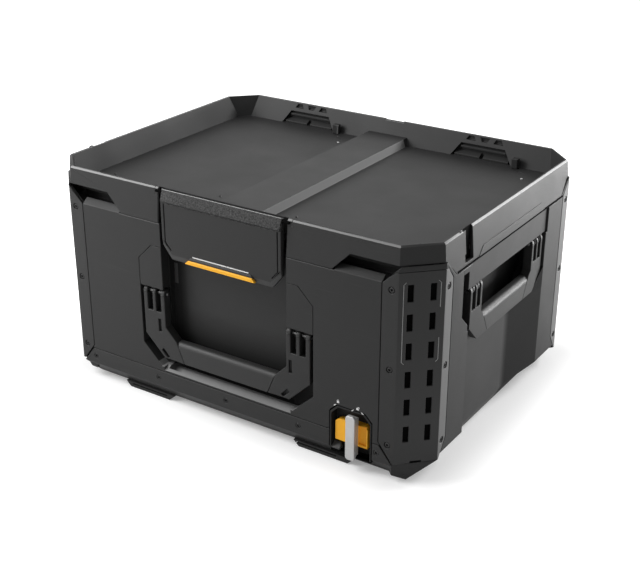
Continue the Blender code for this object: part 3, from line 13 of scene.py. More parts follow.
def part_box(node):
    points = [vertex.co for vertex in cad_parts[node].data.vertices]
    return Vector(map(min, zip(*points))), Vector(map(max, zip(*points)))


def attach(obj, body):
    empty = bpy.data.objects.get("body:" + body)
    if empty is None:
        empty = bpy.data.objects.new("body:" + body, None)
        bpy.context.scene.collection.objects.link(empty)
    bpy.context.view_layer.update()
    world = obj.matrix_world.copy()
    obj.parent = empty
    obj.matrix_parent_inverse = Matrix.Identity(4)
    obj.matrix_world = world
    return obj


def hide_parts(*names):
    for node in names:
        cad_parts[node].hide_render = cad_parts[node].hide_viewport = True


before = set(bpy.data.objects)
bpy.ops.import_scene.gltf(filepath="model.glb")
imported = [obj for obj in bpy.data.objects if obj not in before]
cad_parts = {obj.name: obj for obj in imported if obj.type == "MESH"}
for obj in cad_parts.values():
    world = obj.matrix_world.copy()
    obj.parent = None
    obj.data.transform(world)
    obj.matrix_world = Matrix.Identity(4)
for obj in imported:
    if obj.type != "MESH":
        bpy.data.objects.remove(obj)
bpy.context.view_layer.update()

# The box's main planes, read from the frame
FRONT_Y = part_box("corner_guard_front_left")[0].y
REAR_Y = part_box("corner_guard_rear_left")[1].y
MIDDLE_Y = (FRONT_Y + REAR_Y) / 2
HALF_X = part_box("corner_guard_front_right")[1].x
HALF_Y = (REAR_Y - FRONT_Y) / 2
RIM_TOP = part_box("lid_shell")[1].z
CORNER_LEG = 0.0382
LATCH_FACE = HALF_Y + 0.002

# Lid
LID_TAPER = 0.004
SEAM = 0.256
PANEL_FOOT = 0.2584
TRAY_FLOOR = RIM_TOP - 0.031
RIDGE_HALF = 0.032
SOCKET_X = 0.145
RIM_EDGE = 0.0010
KEYHOLE_LOW = 0.2940
KEYHOLE_HIGH = 0.2995

# Corner guards
GUARD_SCREW_HEIGHTS = (0.249, 0.149, 0.049)
GUARD_SCREW_X = 0.2375
GUARD_SCREW_Y = 0.1660
GUARD_EASE = 0.0005
STROKE_X = 0.0215
STROKE_HALF = 0.00035
STROKE_HOOK = 0.0028

# Latch and handles
LATCH_GROOVE_HALF = 0.0007
ARM_SLIT_HALF = 0.0022
FRONT_FORK_GAPS = ((0.1019, 0.1081), (0.1154, 0.1216))
FRONT_FINGERS = ((0.0945, 0.1010), (0.1090, 0.1145), (0.1225, 0.1290))
FRONT_PIN_HEIGHT = 0.157
FINGER_ROOM_Y = -0.2065
FINGER_ROOM_RADIUS = 0.0092
SIDE_FORK_GAPS = ((0.0782, 0.0844), (0.0906, 0.0968))
SIDE_ARM_CUT = 0.1893
SIDE_ARM_GROWTH = 0.0055

# Camera fitted to the photo
LENS_MM = 66.23
SENSOR_MM = 36
CAMERA_AZIMUTH = 33.17
CAMERA_ELEVATION = 24.32
CAMERA_ROLL = 0.16
CAMERA_PLACE = (0.81688, -1.24308, 0.79152)


def at(x, y, z):
    """A place given from the middle of the box's plan."""
    return Vector((x, y + MIDDLE_Y, z))


def heading(x, y, z):
    """A direction of length one."""
    return Vector((x, y, z)).normalized()


# Place and direction of the slope that cuts the left end of the base
BASE_SLOPE = (at(-0.2468, 0, 0.0247), heading(-0.718, 0, -0.696))


# Modelling helpers

def alone(obj):
    """Makes one object the only selected and the active one."""
    bpy.ops.object.select_all(action="DESELECT")
    obj.select_set(True)
    bpy.context.view_layer.objects.active = obj
    return obj


def named(name):
    obj = bpy.context.object
    obj.name = name
    obj.data.name = name
    return obj


def block(name, low, high):
    """A block between two corners, with its place in its mesh."""
    low, high = Vector(low), Vector(high)
    bpy.ops.object.select_all(action="DESELECT")
    bpy.ops.mesh.primitive_cube_add(size=1, location=(low + high) / 2, scale=high - low)
    bpy.ops.object.transform_apply(location=True, rotation=True, scale=True)
    return named(name)


def local_block(name, low, high, side=1, end=1):
    """A block between two places, mirrored in x where side is -1 and in y where end is -1."""
    xs = sorted((side * low[0], side * high[0]))
    ys = sorted((end * low[1], end * high[1]))
    return block(name, at(xs[0], ys[0], low[2]), at(xs[1], ys[1], high[2]))


def rod(name, radius, start, end, sides=24):
    """A round bar between two places."""
    start, end = Vector(start), Vector(end)
    turn = (end - start).to_track_quat("Z", "Y").to_euler()
    bpy.ops.object.select_all(action="DESELECT")
    bpy.ops.mesh.primitive_cylinder_add(
        vertices=sides, radius=radius, depth=(end - start).length, location=(start + end) / 2, rotation=turn
    )
    bpy.ops.object.transform_apply(location=True, rotation=True, scale=True)
    return named(name)


def start_shaping(obj):
    alone(obj)
    bpy.ops.object.mode_set(mode="EDIT")


def stop_shaping():
    bpy.ops.object.mode_set(mode="OBJECT")


def looking(x, y, z, least=0.9):
    """A test for faces that look along a direction."""
    return lambda place, normal: normal.dot(Vector((x, y, z))) > least


def pick_faces(obj, wanted):
    """In edit mode, selects only the faces whose middle and normal pass the test."""
    bpy.ops.mesh.select_mode(type="FACE")
    bpy.ops.mesh.select_all(action="DESELECT")
    work = bmesh.from_edit_mesh(obj.data)
    for face in work.faces:
        face.select_set(bool(wanted(face.calc_center_median(), face.normal)))
    bmesh.update_edit_mesh(obj.data)


def pick_edges(obj, wanted):
    """In edit mode, selects only the edges whose two ends pass the test."""
    bpy.ops.mesh.select_mode(type="EDGE")
    bpy.ops.mesh.select_all(action="DESELECT")
    work = bmesh.from_edit_mesh(obj.data)
    for edge in work.edges:
        edge.select_set(bool(wanted(edge.verts[0].co, edge.verts[1].co)))
    bmesh.update_edit_mesh(obj.data)


def push(obj, wanted, way):
    """Extrudes the picked faces along a vector."""
    start_shaping(obj)
    pick_faces(obj, wanted)
    bpy.ops.mesh.extrude_region_move(TRANSFORM_OT_translate={"value": Vector(way)})
    stop_shaping()
    return obj


def narrow(obj, wanted, sizes, middle):
    """Resizes the picked faces about a place."""
    start_shaping(obj)
    pick_faces(obj, wanted)
    bpy.ops.transform.resize(value=sizes, center_override=middle)
    stop_shaping()
    return obj


def shift(obj, wanted, way):
    """Moves the picked faces along a vector."""
    start_shaping(obj)
    pick_faces(obj, wanted)
    bpy.ops.transform.translate(value=Vector(way))
    stop_shaping()
    return obj


def trim(obj, place, outwards):
    """Cuts off what lies beyond a plane and closes the cut."""
    start_shaping(obj)
    bpy.ops.mesh.select_all(action="SELECT")
    bpy.ops.mesh.bisect(plane_co=place, plane_no=outwards, use_fill=True, clear_outer=True)
    stop_shaping()
    return obj


def carve(obj, *tools):
    """Takes the tools' shapes out of a piece, one after another."""
    for tool in tools:
        change = obj.modifiers.new("carve", "BOOLEAN")
        change.operation = "DIFFERENCE"
        change.solver = "EXACT"
        change.object = tool
        alone(obj)
        bpy.ops.object.modifier_apply(modifier=change.name)
        bpy.data.objects.remove(tool, do_unlink=True)
    return obj


def even_shading(obj):
    """Gives a piece corner normals that follow its largest faces."""
    alone(obj)
    bpy.ops.mesh.customdata_custom_splitnormals_clear()
    change = obj.modifiers.new("even_shading", "WEIGHTED_NORMAL")
    change.weight = 100
    bpy.ops.object.modifier_apply(modifier=change.name)
    return obj


def soften(obj, width, segments=2, angle=30):
    """Rounds every sharp edge, keeping the flats flat."""
    start_shaping(obj)
    bpy.ops.mesh.select_mode(type="FACE")
    bpy.ops.mesh.select_all(action="SELECT")
    bpy.ops.mesh.dissolve_limited(angle_limit=radians(0.6))
    bpy.ops.mesh.select_all(action="SELECT")
    bpy.ops.mesh.vert_connect_concave()
    stop_shaping()
    bpy.ops.object.shade_smooth()
    change = obj.modifiers.new("soft_edges", "BEVEL")
    change.width = width
    change.segments = segments
    change.limit_method = "ANGLE"
    change.angle_limit = radians(angle)
    change.use_clamp_overlap = False
    change.loop_slide = False
    bpy.ops.object.modifier_apply(modifier=change.name)
    return even_shading(obj)


def moulding(node, name):
    """A merged copy of a frame piece, ready for finer shaping."""
    obj = bpy.data.objects.new(name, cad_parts[node].data.copy())
    obj.data.name = name
    bpy.context.scene.collection.objects.link(obj)
    start_shaping(obj)
    bpy.ops.mesh.customdata_custom_splitnormals_clear()
    bpy.ops.mesh.select_mode(type="EDGE")
    bpy.ops.mesh.select_all(action="SELECT")
    bpy.ops.mesh.mark_sharp(clear=True)
    bpy.ops.mesh.remove_doubles(threshold=0.000002)
    bpy.ops.mesh.dissolve_limited(angle_limit=radians(0.6))
    stop_shaping()
    return obj


def copy_of(obj, name, change):
    """A copy with its own mesh, moved by a matrix in its mesh."""
    made = bpy.data.objects.new(name, obj.data.copy())
    made.data.name = name
    bpy.context.scene.collection.objects.link(made)
    made.data.transform(change)
    if change.determinant() < 0:
        made.data.flip_normals()
    return made


def across_x(obj, name):
    """The mirror image on the box's other side."""
    return copy_of(obj, name, Matrix.Diagonal((-1, 1, 1, 1)))


def facing(place, outwards):
    """Moves a shape modelled at the origin, facing up, onto a place facing outwards."""
    return Matrix.Translation(place) @ outwards.to_track_quat("Z", "Y").to_matrix().to_4x4()


def outer_end(node, outwards):
    """Middle of the side of a frame piece's box that looks outwards."""
    low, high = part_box(node)
    return (low + high) / 2 + Vector([way * size / 2 for way, size in zip(outwards, high - low)])


def settle(obj, body, slot, finish, *stands_for):
    """Gives a piece its finish, the body that it rides on and the frame pieces that it stands for."""
    obj.data.materials.clear()
    obj.data.materials.append(finish)
    for face in obj.data.polygons:
        face.material_index = 0
    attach(obj, body)
    if stands_for:
        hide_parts(*stands_for)
    return obj


def settle_both(piece, other, body, finish):
    """Settles a charcoal piece and its mirror image on the box's other side."""
    for one in (piece, across_x(piece, other)):
        settle(one, body, "charcoal_plastic", finish)


# Shader helpers

def add(tree, kind, given=(), **settings):
    """Adds a node with its settings. Given maps its inputs to values, or to the sockets that feed them."""
    made = tree.nodes.new(f"ShaderNode{kind}")
    for name, value in settings.items():
        setattr(made, name, value)
    for socket, value in dict(given).items():
        if isinstance(value, bpy.types.NodeSocket):
            tree.links.new(value, made.inputs[socket])
        else:
            made.inputs[socket].default_value = value
    return made


def maths(tree, operation, *given, **settings):
    return add(tree, "Math", enumerate(given), operation=operation, **settings).outputs[0]


def vector(tree, operation, *given):
    made = add(tree, "VectorMath", enumerate(given), operation=operation)
    return made.outputs["Value" if operation in ("DOT_PRODUCT", "LENGTH") else "Vector"]


def ramp(tree, value, low, high, **settings):
    """Nought at the low value, one at the high one."""
    given = {"Value": value, "From Min": low, "From Max": high}
    return add(tree, "MapRange", given, **settings).outputs["Result"]


def noise(tree, place, scale, detail):
    return add(tree, "TexNoise", {"Vector": place, "Scale": scale, "Detail": detail}).outputs["Fac"]


def blend(tree, factor, first, second, kind="RGBA"):
    """The first at nought, the second at one."""
    return add(tree, "Mix", {"Factor": factor, "A": first, "B": second}, data_type=kind).outputs["Result"]


def new_group(name, takes, gives):
    """A node group, with the sockets that it is given and those that it gives."""
    group = bpy.data.node_groups.new(name, "ShaderNodeTree")
    for way, sockets in (("INPUT", takes), ("OUTPUT", gives)):
        for title, kind in sockets:
            group.interface.new_socket(title, in_out=way, socket_type=f"NodeSocket{kind}")
    return group, group.nodes.new("NodeGroupInput").outputs, group.nodes.new("NodeGroupOutput").inputs


def grey(value):
    return (value, value, value, 1)


# Finishes

def moulded_grain():
    """Cloudy colour, uneven gloss and a fine pebbled height for moulded plastic."""
    group, given, out = new_group(
        "moulded_grain",
        (
            ("Place", "Vector"),
            ("Colour", "Color"),
            ("Cloud Colour", "Color"),
            ("Cloud Scale", "Float"),
            ("Grain Scale", "Float"),
            ("Gloss Low", "Float"),
            ("Gloss High", "Float"),
        ),
        (("Colour", "Color"), ("Roughness", "Float"), ("Height", "Float")),
    )
    cloud = ramp(group, noise(group, given["Place"], given["Cloud Scale"], 4), 0.3, 0.7)
    grain = noise(group, given["Place"], given["Grain Scale"], 2)
    share = maths(group, "MULTIPLY_ADD", grain, 0.45, maths(group, "MULTIPLY", cloud, 0.6))
    colour = blend(group, share, given["Colour"], given["Cloud Colour"])
    gloss = {"Value": cloud, "To Min": given["Gloss Low"], "To Max": given["Gloss High"]}
    roughness = add(group, "MapRange", gloss).outputs["Result"]
    for name, value in (("Colour", colour), ("Roughness", roughness), ("Height", grain)):
        group.links.new(value, out[name])
    return group


def faint_rubs():
    """Sparse hairline rub marks, as a mask."""
    takes = (("Place", "Vector"), ("Amount", "Float"))
    group, given, out = new_group("faint_rubs", takes, (("Mask", "Float"),))
    stretch = {"Vector": given["Place"], "Rotation": (0.3, 0.2, 0.7), "Scale": (12, 420, 420)}
    streak = noise(group, add(group, "Mapping", stretch).outputs["Vector"], 1.0, 3)
    mask = maths(group, "MULTIPLY", ramp(group, streak, 0.63, 0.78), given["Amount"])
    group.links.new(mask, out["Mask"])
    return group


def inside_block():
    """One inside a block between two corners, fading to nought over a softness at its low and high sides."""
    takes = [(name, "Vector") for name in ("Place", "Low", "High")]
    takes += [(name, "Float") for name in ("Low Softness", "High Softness")]
    group, given, out = new_group("inside_block", takes, (("Mask", "Float"),))
    mask = None
    for first, second, softness in (("Place", "Low", "Low Softness"), ("High", "Place", "High Softness")):
        gap = vector(group, "SUBTRACT", given[first], given[second])
        split = add(group, "SeparateXYZ", {0: gap}).outputs
        for axis in "XYZ":
            fade = maths(group, "DIVIDE", split[axis], given[softness], use_clamp=True)
            mask = fade if mask is None else maths(group, "MULTIPLY", mask, fade)
    group.links.new(mask, out["Mask"])
    return group


def under_skin():
    """One for what lies below the box's outer faces and chamfered corners, nought on them."""
    group, given, out = new_group("under_skin", (("Place", "Vector"),), (("Mask", "Float"),))
    size = vector(group, "ABSOLUTE", vector(group, "SUBTRACT", given["Place"], (0, MIDDLE_Y, 0)))
    least = None
    for outwards, reach in (
        ((1, 0, 0), HALF_X),
        ((0, 1, 0), HALF_Y),
        ((sqrt(0.5), sqrt(0.5), 0), (HALF_X + HALF_Y - CORNER_LEG) * sqrt(0.5)),
    ):
        depth = maths(group, "SUBTRACT", reach, vector(group, "DOT_PRODUCT", size, outwards))
        least = depth if least is None else maths(group, "MINIMUM", least, depth)
    group.links.new(ramp(group, least, 0.0007, 0.0011), out["Mask"])
    return group


GRAIN = moulded_grain()
RUBS = faint_rubs()
INSIDE = inside_block()
UNDER_SKIN = under_skin()


def finish_sheet(name):
    made = bpy.data.materials.new(name)
    made.use_nodes = True
    return made, made.node_tree, made.node_tree.nodes["Principled BSDF"]


def grain_of(tree, place, colour, cloud, grain_scale, gloss, cloud_scale):
    """Colour, roughness and height of the shared grain."""
    given = {
        "Place": place,
        "Colour": colour,
        "Cloud Colour": cloud,
        "Cloud Scale": cloud_scale,
        "Grain Scale": grain_scale,
        "Gloss Low": gloss[0],
        "Gloss High": gloss[1],
    }
    return add(tree, "Group", given, node_tree=GRAIN).outputs


def dress(tree, shader, colour, roughness, height, bump, depth, sheen):
    """Feeds a shader with a colour, a roughness and a bumped surface."""
    relief = add(tree, "Bump", {"Strength": bump, "Distance": depth, "Height": height}).outputs["Normal"]
    for socket, value in (("Base Color", colour), ("Roughness", roughness), ("Normal", relief)):
        tree.links.new(value, shader.inputs[socket])
    shader.inputs["Specular IOR Level"].default_value = sheen


def grained(
    name, colour, cloud, grain_scale, gloss, cloud_scale=14.0, bump=0.12, sheen=0.5, metal=0.0, rubs=0.25
):
    """A moulded or cast finish from the shared grain, with faint rub marks."""
    made, tree, shader = finish_sheet(name)
    place = add(tree, "TexCoord").outputs["Object"]
    grain = grain_of(tree, place, colour, cloud, grain_scale, gloss, cloud_scale)
    marks = add(tree, "Group", {"Place": place, "Amount": rubs}, node_tree=RUBS).outputs["Mask"]
    rubbed = tuple(min(1, c * 1.7 + 0.004) for c in cloud[:3]) + (1,)
    base = blend(tree, marks, grain["Colour"], rubbed)
    dress(tree, shader, base, grain["Roughness"], grain["Height"], bump, 0.0005, sheen)
    shader.inputs["Metallic"].default_value = metal
    return made


def parts_of(finish):
    """A finish's tree, its shader and the place of the point being shaded."""
    nodes = finish.node_tree.nodes
    return finish.node_tree, nodes["Principled BSDF"], nodes["Texture Coordinate"].outputs["Object"]


def paint_shade(finish, mask_for, tone=0.003):
    """Paints shade into a finish: takes it down to a matt near-black where a mask built by mask_for says so.
    """
    tree, shader, place = parts_of(finish)
    mask = mask_for(tree, place)
    for socket, value, kind in (("Base Color", grey(tone), "RGBA"), ("Roughness", 0.95, "FLOAT")):
        before = shader.inputs[socket].links[0].from_socket
        tree.links.new(blend(tree, mask, before, value, kind), shader.inputs[socket])


def block_mask(low, high, low_soft=0.0004, high_soft=0.0004, both_sides=False):
    """Builds the mask of one block, on both sides of the box where wanted."""
    def build(tree, place):
        if both_sides:
            split = add(tree, "SeparateXYZ", {0: place}).outputs
            size = maths(tree, "ABSOLUTE", split["X"])
            place = add(tree, "CombineXYZ", {"X": size, "Y": split["Y"], "Z": split["Z"]}).outputs[0]
        given = {
            "Place": place,
            "Low": at(*low),
            "High": at(*high),
            "Low Softness": low_soft,
            "High Softness": high_soft,
        }
        return add(tree, "Group", given, node_tree=INSIDE).outputs["Mask"]
    return build


def paint_facing_light_and_shade(finish, way, least, tone, low, high):
    """Paints light and shade: another tone, inside a block, on the faces that look a given way."""
    tree, shader, place = parts_of(finish)
    base = shader.inputs["Base Color"]
    inside = block_mask(low, high)(tree, place)
    turned = add(tree, "NewGeometry").outputs["True Normal"]
    along = vector(tree, "DOT_PRODUCT", turned, heading(*way))
    share = maths(tree, "MULTIPLY", ramp(tree, along, least, least + 0.05), inside)
    tree.links.new(blend(tree, share, base.links[0].from_socket, grey(tone)), base)
    return finish


def skin_mask(tree, place):
    """Builds the mask of what lies below the guards' outer faces."""
    return add(tree, "Group", {"Place": place}, node_tree=UNDER_SKIN).outputs["Mask"]


SHELL = grained("charcoal_moulding", grey(0.021), grey(0.026), 1500, (0.42, 0.52), sheen=0.22)
LID_SHELL = grained("lid_moulding", grey(0.023), grey(0.028), 1500, (0.44, 0.54), sheen=0.22)
GUARD = grained("guard_moulding", grey(0.007), grey(0.010), 1700, (0.30, 0.38), sheen=0.36)
FRAME = grained("handle_moulding", grey(0.021), grey(0.026), 1700, (0.38, 0.48), sheen=0.24)
RAIL = grained("rail_moulding", grey(0.022), grey(0.027), 1500, (0.42, 0.52), sheen=0.24)
RUBBER = grained("grip_rubber_skin", grey(0.022), grey(0.028), 2100, (0.40, 0.50), bump=0.2, sheen=0.28)
FOOT_RUBBER = grained("foot_rubber", grey(0.020), grey(0.026), 1700, (0.60, 0.72), bump=0.2, sheen=0.20)
SEAL = grained("seal_foam", grey(0.008), grey(0.013), 2600, (0.80, 0.90), bump=0.3, sheen=0.20, rubs=0.0)
SHADE = grained("shadow_black", grey(0.0015), grey(0.0025), 1500, (0.90, 0.96), sheen=0.05, rubs=0.0)
LOCK_CUP = grained("lock_cup_moulding", grey(0.010), grey(0.014), 1700, (0.46, 0.56), sheen=0.20)
ORANGE = grained(
    "orange_moulding", (1.0, 0.45, 0.020, 1), (1.0, 0.50, 0.030, 1), 1500, (0.38, 0.48),
    bump=0.08, sheen=0.3, rubs=0.12,
)
LEVER_METAL = grained(
    "lever_metal", grey(0.52), grey(0.60), 900, (0.34, 0.44), cloud_scale=60, bump=0.05, metal=0.4, rubs=0.2
)
PIN_METAL = grained(
    "pin_steel_turned", grey(0.11), grey(0.15), 1200, (0.34, 0.44), cloud_scale=80, bump=0.04, metal=1.0
)
SCREW_METAL = grained(
    "screw_black_steel", grey(0.035), grey(0.055), 1400, (0.36, 0.48), cloud_scale=90, bump=0.06, metal=1.0
)
# A paler copy of the charcoal moulding: painted light for the rib in the bay and the ledge by the stack lock
LIT_MOULDING = grained("moulding_painted_light", grey(0.050), grey(0.060), 1500, (0.42, 0.52), sheen=0.24)
PRINT = grained("white_print", grey(0.72), grey(0.80), 1800, (0.50, 0.60), bump=0.05, rubs=0.4)
LINE_PRINT = grained("grey_print", grey(0.30), grey(0.42), 1800, (0.50, 0.60), bump=0.05, rubs=0.4)


# Painted light: the guards' sides, the rim's edges, the ridge, the ledges and the sill of the bay are painted
# paler where light falls on them
for side in (-1, 1):
    # painted reflection: the guards' faces that look sideways are painted paler
    paint_facing_light_and_shade(GUARD, (side, 0, 0), 0.92, 0.11, (-0.30, -0.30, 0), (0.30, 0.30, 0.30))
    # painted highlight on the rim's planed outer edges, stronger at the sides than at the front and back
    paint_facing_light_and_shade(LID_SHELL, (side, 0, 1), 0.93, 0.50, (-0.30, -0.30, 0.2965), (0.30, 0.30, 0.3040))
    paint_facing_light_and_shade(LID_SHELL, (0, side, 1), 0.93, 0.28, (-0.30, -0.30, 0.2965), (0.30, 0.30, 0.3040))
# painted highlight on the ridge's right side; the ridge's top is painted a flat paler tone, as painted light
paint_facing_light_and_shade(LID_SHELL, (1, 0, 0), 0.30, 0.26, (-0.10, -0.21, 0.2705), (0.16, 0.185, 0.2990))
paint_facing_light_and_shade(LID_SHELL, (0, 0, 1), 0.90, 0.032, (-0.0390, -0.21, 0.2795), (0.0265, 0.1950, 0.2830))
# painted light on the ledges of the finger notches at the front, stronger on the left
paint_facing_light_and_shade(SHELL, (0, 0, 1), 0.30, 0.22, (-0.285, -0.2200, 0.2300), (0, -0.1850, 0.2550))
paint_facing_light_and_shade(SHELL, (0, 0, 1), 0.30, 0.16, (0, -0.2200, 0.2300), (0.285, -0.1850, 0.2550))
# painted light on the sill below the front handle
paint_facing_light_and_shade(SHELL, (0, 0, 1), 0.30, 0.17, (-0.110, -0.2200, 0.0440), (0.110, -0.1990, 0.0600))

# Painted shade: the guards' slots, the tub's grooves, ramp and bay, the lid's grooves and latch bay are taken
# down to near-black where shade falls
# painted shade on all that lies below the guards' outer faces: the slots and the screw seats
paint_shade(GUARD, skin_mask)
# painted shade in the tub's side grooves
paint_shade(SHELL, block_mask((0.2700, -0.1300, 0.1700), (0.2842, -0.1110, 0.2600), both_sides=True))
# painted shade on the rear part of the right side's hand recess, fading forwards
paint_shade(SHELL, block_mask((0.2500, 0.0160, 0.0), (0.2900, 0.1073, 0.2210), 0.014, 0.0006), 0.005)
# painted shade on the left wall of the front handle's bay, fading towards the middle
paint_shade(SHELL, block_mask((-0.0960, -0.2115, 0.050), (-0.0740, -0.1800, 0.2560), 0.0003, 0.012))
# painted shade on the bay behind the front handle, darker towards the bottom
paint_shade(SHELL, block_mask((-0.0958, -0.2000, 0.050), (0.1600, -0.1000, 0.140), 0.0003, 0.060), 0.005)
# painted shade in the lid's side grooves
paint_shade(LID_SHELL, block_mask((0.2773, -0.1292, 0.2600), (0.2806, -0.1060, 0.3100), both_sides=True))
# painted shade on the lid's front behind the latch
paint_shade(LID_SHELL, block_mask((-0.0957, -0.2300, 0.2300), (0.0957, -0.2040, 0.2990)))
# painted shade, lighter, on the rim's top behind the latch
paint_shade(LID_SHELL, block_mask((-0.0957, -0.2300, 0.2990), (0.0957, -0.2040, 0.3050)), 0.030)
# painted shade on the walls of the gaps beside the latch
paint_shade(LID_SHELL, block_mask((-0.0985, -0.2300, 0.2300), (-0.0893, -0.2040, 0.3050)))
paint_shade(LID_SHELL, block_mask((0.0893, -0.2300, 0.2300), (0.0962, -0.2040, 0.3050)))


def latch_finish():
    """The latch's plastic: fine below, with a coarse speckled band along its top and a painted highlight that
    makes its down-facing lower facets paler.
    """
    made, tree, shader = finish_sheet("latch_moulding")
    place = add(tree, "TexCoord").outputs["Object"]
    grain = grain_of(tree, place, grey(0.021), grey(0.027), 1500, (0.44, 0.54), 14)
    height = add(tree, "SeparateXYZ", {0: place}).outputs["Z"]
    band = ramp(tree, height, 0.2842, 0.2852, interpolation_type="SMOOTHSTEP")
    speckle = ramp(tree, noise(tree, place, 620, 3), 0.38, 0.64)
    colour = blend(tree, band, grain["Colour"], blend(tree, speckle, grey(0.002), grey(0.055)))
    turned = add(tree, "NewGeometry").outputs["True Normal"]
    upwards = add(tree, "SeparateXYZ", {0: turned}).outputs["Z"]
    # painted highlight: the down-facing facets low on the latch are painted paler
    underside_highlight = maths(tree, "MULTIPLY", ramp(tree, upwards, -0.05, -0.10), ramp(tree, height, 0.232, 0.230))
    colour = blend(tree, underside_highlight, colour, grey(0.045))
    relief = blend(tree, band, grain["Height"], speckle, "FLOAT")
    dress(tree, shader, colour, grain["Roughness"], relief, 0.25, 0.0006, 0.22)
    return made


LATCH = latch_finish()
# painted shade on the underside of the latch's top roll
paint_facing_light_and_shade(LATCH, (0, -0.62, -0.78), 0.80, 0.004, (-0.10, -0.23, 0.2840), (0.10, -0.20, 0.2960))
# painted highlight along the latch's top edge
paint_facing_light_and_shade(LATCH, (0, -0.55, 0.83), 0.93, 0.60, (-0.10, -0.23, 0.2960), (0.10, -0.20, 0.3040))


# Tub and lid

def tub_moulding():
    shell = moulding("tub", "tub_shell")
    for side in (-1, 1):
        low, high = (0.2769, -0.1130, 0.1700), (0.3000, -0.1100, 0.2800)
        carve(shell, local_block(f"groove_side_tool_{side}", low, high, side))
    settle(soften(shell, 0.0008), "box", "charcoal_plastic", SHELL, "tub")
    # the rib in the bay takes the paler finish, as painted light
    rib = local_block("bay_rib", (-0.0953, -0.1892, 0.1666), (-0.0890, -0.1868, 0.1955))
    narrow(rib, looking(0, -1, 0), (0.8, 1, 0.97), at(-0.0922, -0.1892, 0.1810))
    settle(soften(rib, 0.0003), "box", "charcoal_plastic", LIT_MOULDING)
    for end, word in ((-1, "front"), (1, "rear")):
        low, high = (-0.2640, 0.1900, 0.0128), (-0.2250, 0.2095, 0.0262)
        fill = local_block(f"low_corner_{word}_left", low, high, end=end)
        trim(fill, at(-0.2550, end * 0.2035, 0), heading(-1, end, 0))
        trim(fill, *BASE_SLOPE)
        settle(soften(fill, 0.0005), "box", "charcoal_plastic", RAIL)
    bridge = local_block("groove_bridge_right", (0.2790, -0.1294, 0.2478), (0.2850, -0.1085, 0.2555))
    trim(bridge, at(0.2850, 0, 0.2545), heading(0.8, 0, 0.6))
    settle_both(soften(bridge, 0.0004), "groove_bridge_left", "box", SHELL)


def pocket_corners():
    """Fills the lower corners of the two hand pockets, along the slanted ends of the handles."""
    for end, word in ((-1, "front"), (1, "rear")):
        low, high = (0.2512, 0.0774, 0.1440), (0.2739, 0.1072, 0.1740)
        fill = local_block(f"pocket_corner_right_{word}", low, high, end=end)
        trim(fill, at(0.26, end * 0.0774, 0.1444), heading(0, -end, 1))
        if end > 0:
            shift(fill, looking(1, 0, 0), (0.0130, 0, 0))
            trim(fill, at(0.2739, 0.0230, 0), heading(0.0840, -0.0113, 0))
        settle_both(soften(fill, 0.0004), f"pocket_corner_left_{word}", "box", SHELL)


def keyhole_tools(side):
    """Shapes of the three keyholes over one stacking socket, the middle one upside down."""
    for index, (offset, up) in enumerate(((-0.020, 1), (0.001, -1), (0.022, 1))):
        x = side * SOCKET_X + offset
        low, high = (x - 0.0072, 0.196, KEYHOLE_LOW), (x + 0.0072, 0.2055, KEYHOLE_HIGH)
        tool = local_block(f"keyhole_tool_{side}_{index}", low, high)
        tip = at(x, 0.2, KEYHOLE_HIGH if up > 0 else KEYHOLE_LOW)
        yield narrow(tool, looking(0, 0, up), (0.55, 1, 1), tip)


def drain_tool(side):
    """Shape of the short slanted slot in the tray floor beside one stop block."""
    x = side * SOCKET_X + 0.070
    low, high = (x - 0.0050, 0.1722, TRAY_FLOOR - 0.0016), (x + 0.0050, 0.1738, TRAY_FLOOR + 0.002)
    slot = local_block(f"drain_tool_{side}", low, high)
    middle = at(x, 0.173, 0)
    turn = Matrix.Rotation(radians(-25), 4, "Z")
    slot.data.transform(Matrix.Translation(middle) @ turn @ Matrix.Translation(-middle))
    return slot


def rim_edge_tools():
    """Blocks that plane off the rim's outer top edge, along its sides and its chamfered corners."""
    reach = Vector((HALF_X - LID_TAPER, HALF_Y - LID_TAPER))
    corner = (reach.x + reach.y - CORNER_LEG * 0.94) / 2 - RIM_EDGE * sqrt(0.5)
    offset = (reach.x - reach.y) / 2
    top = RIM_TOP - RIM_EDGE
    edges = []
    for way in (-1, 1):
        edges.append((at(0, way * (reach.y - RIM_EDGE), top), heading(0, way, 1)))
        edges.append((at(way * (reach.x - RIM_EDGE), 0, top), heading(way, 0, 1)))
        for end in (-1, 1):
            place = at(way * (corner + offset), end * (corner - offset), top)
            edges.append((place, heading(way * sqrt(0.5), end * sqrt(0.5), 1)))
    for index, (place, outwards) in enumerate(edges):
        tool = block(f"rim_edge_tool_{index}", (-0.31, -0.02, 0), (0.31, 0.02, 0.02))
        tool.data.transform(facing(place, outwards))
        yield tool


def lid_moulding():
    shell = moulding("lid_shell", "lid_top")
    for side, move in ((-1, -0.0080), (1, -0.0040)):
        shift(
            shell,
            lambda place, normal: normal.x * side > 0.8
            and abs(place.x - side * RIDGE_HALF) < 0.003
            and abs(place.z - TRAY_FLOOR - 0.005) < 0.004,
            (move, 0, 0),
        )
    tools = []
    for side in (-1, 1):
        tools.extend(keyhole_tools(side))
        tools.append(drain_tool(side))
        for name, low, high in (
            ("side_seam_tool", (0.2810, -0.1460, 0.2540), (0.2900, 0.1740, PANEL_FOOT)),
            ("lid_groove_tool", (0.2779, -0.1270, 0.2620), (0.3000, -0.1070, 0.3100)),
            ("rim_end_tool", (0.0900, -0.2300, 0.2925), (0.1026, -0.2066, 0.3100)),
        ):
            tools.append(local_block(f"{name}_{side}", low, high, side))
    tools.extend(rim_edge_tools())
    carve(shell, *tools)
    settle(soften(shell, 0.0005, angle=38), "lid", "charcoal_plastic", LID_SHELL, "lid_shell")


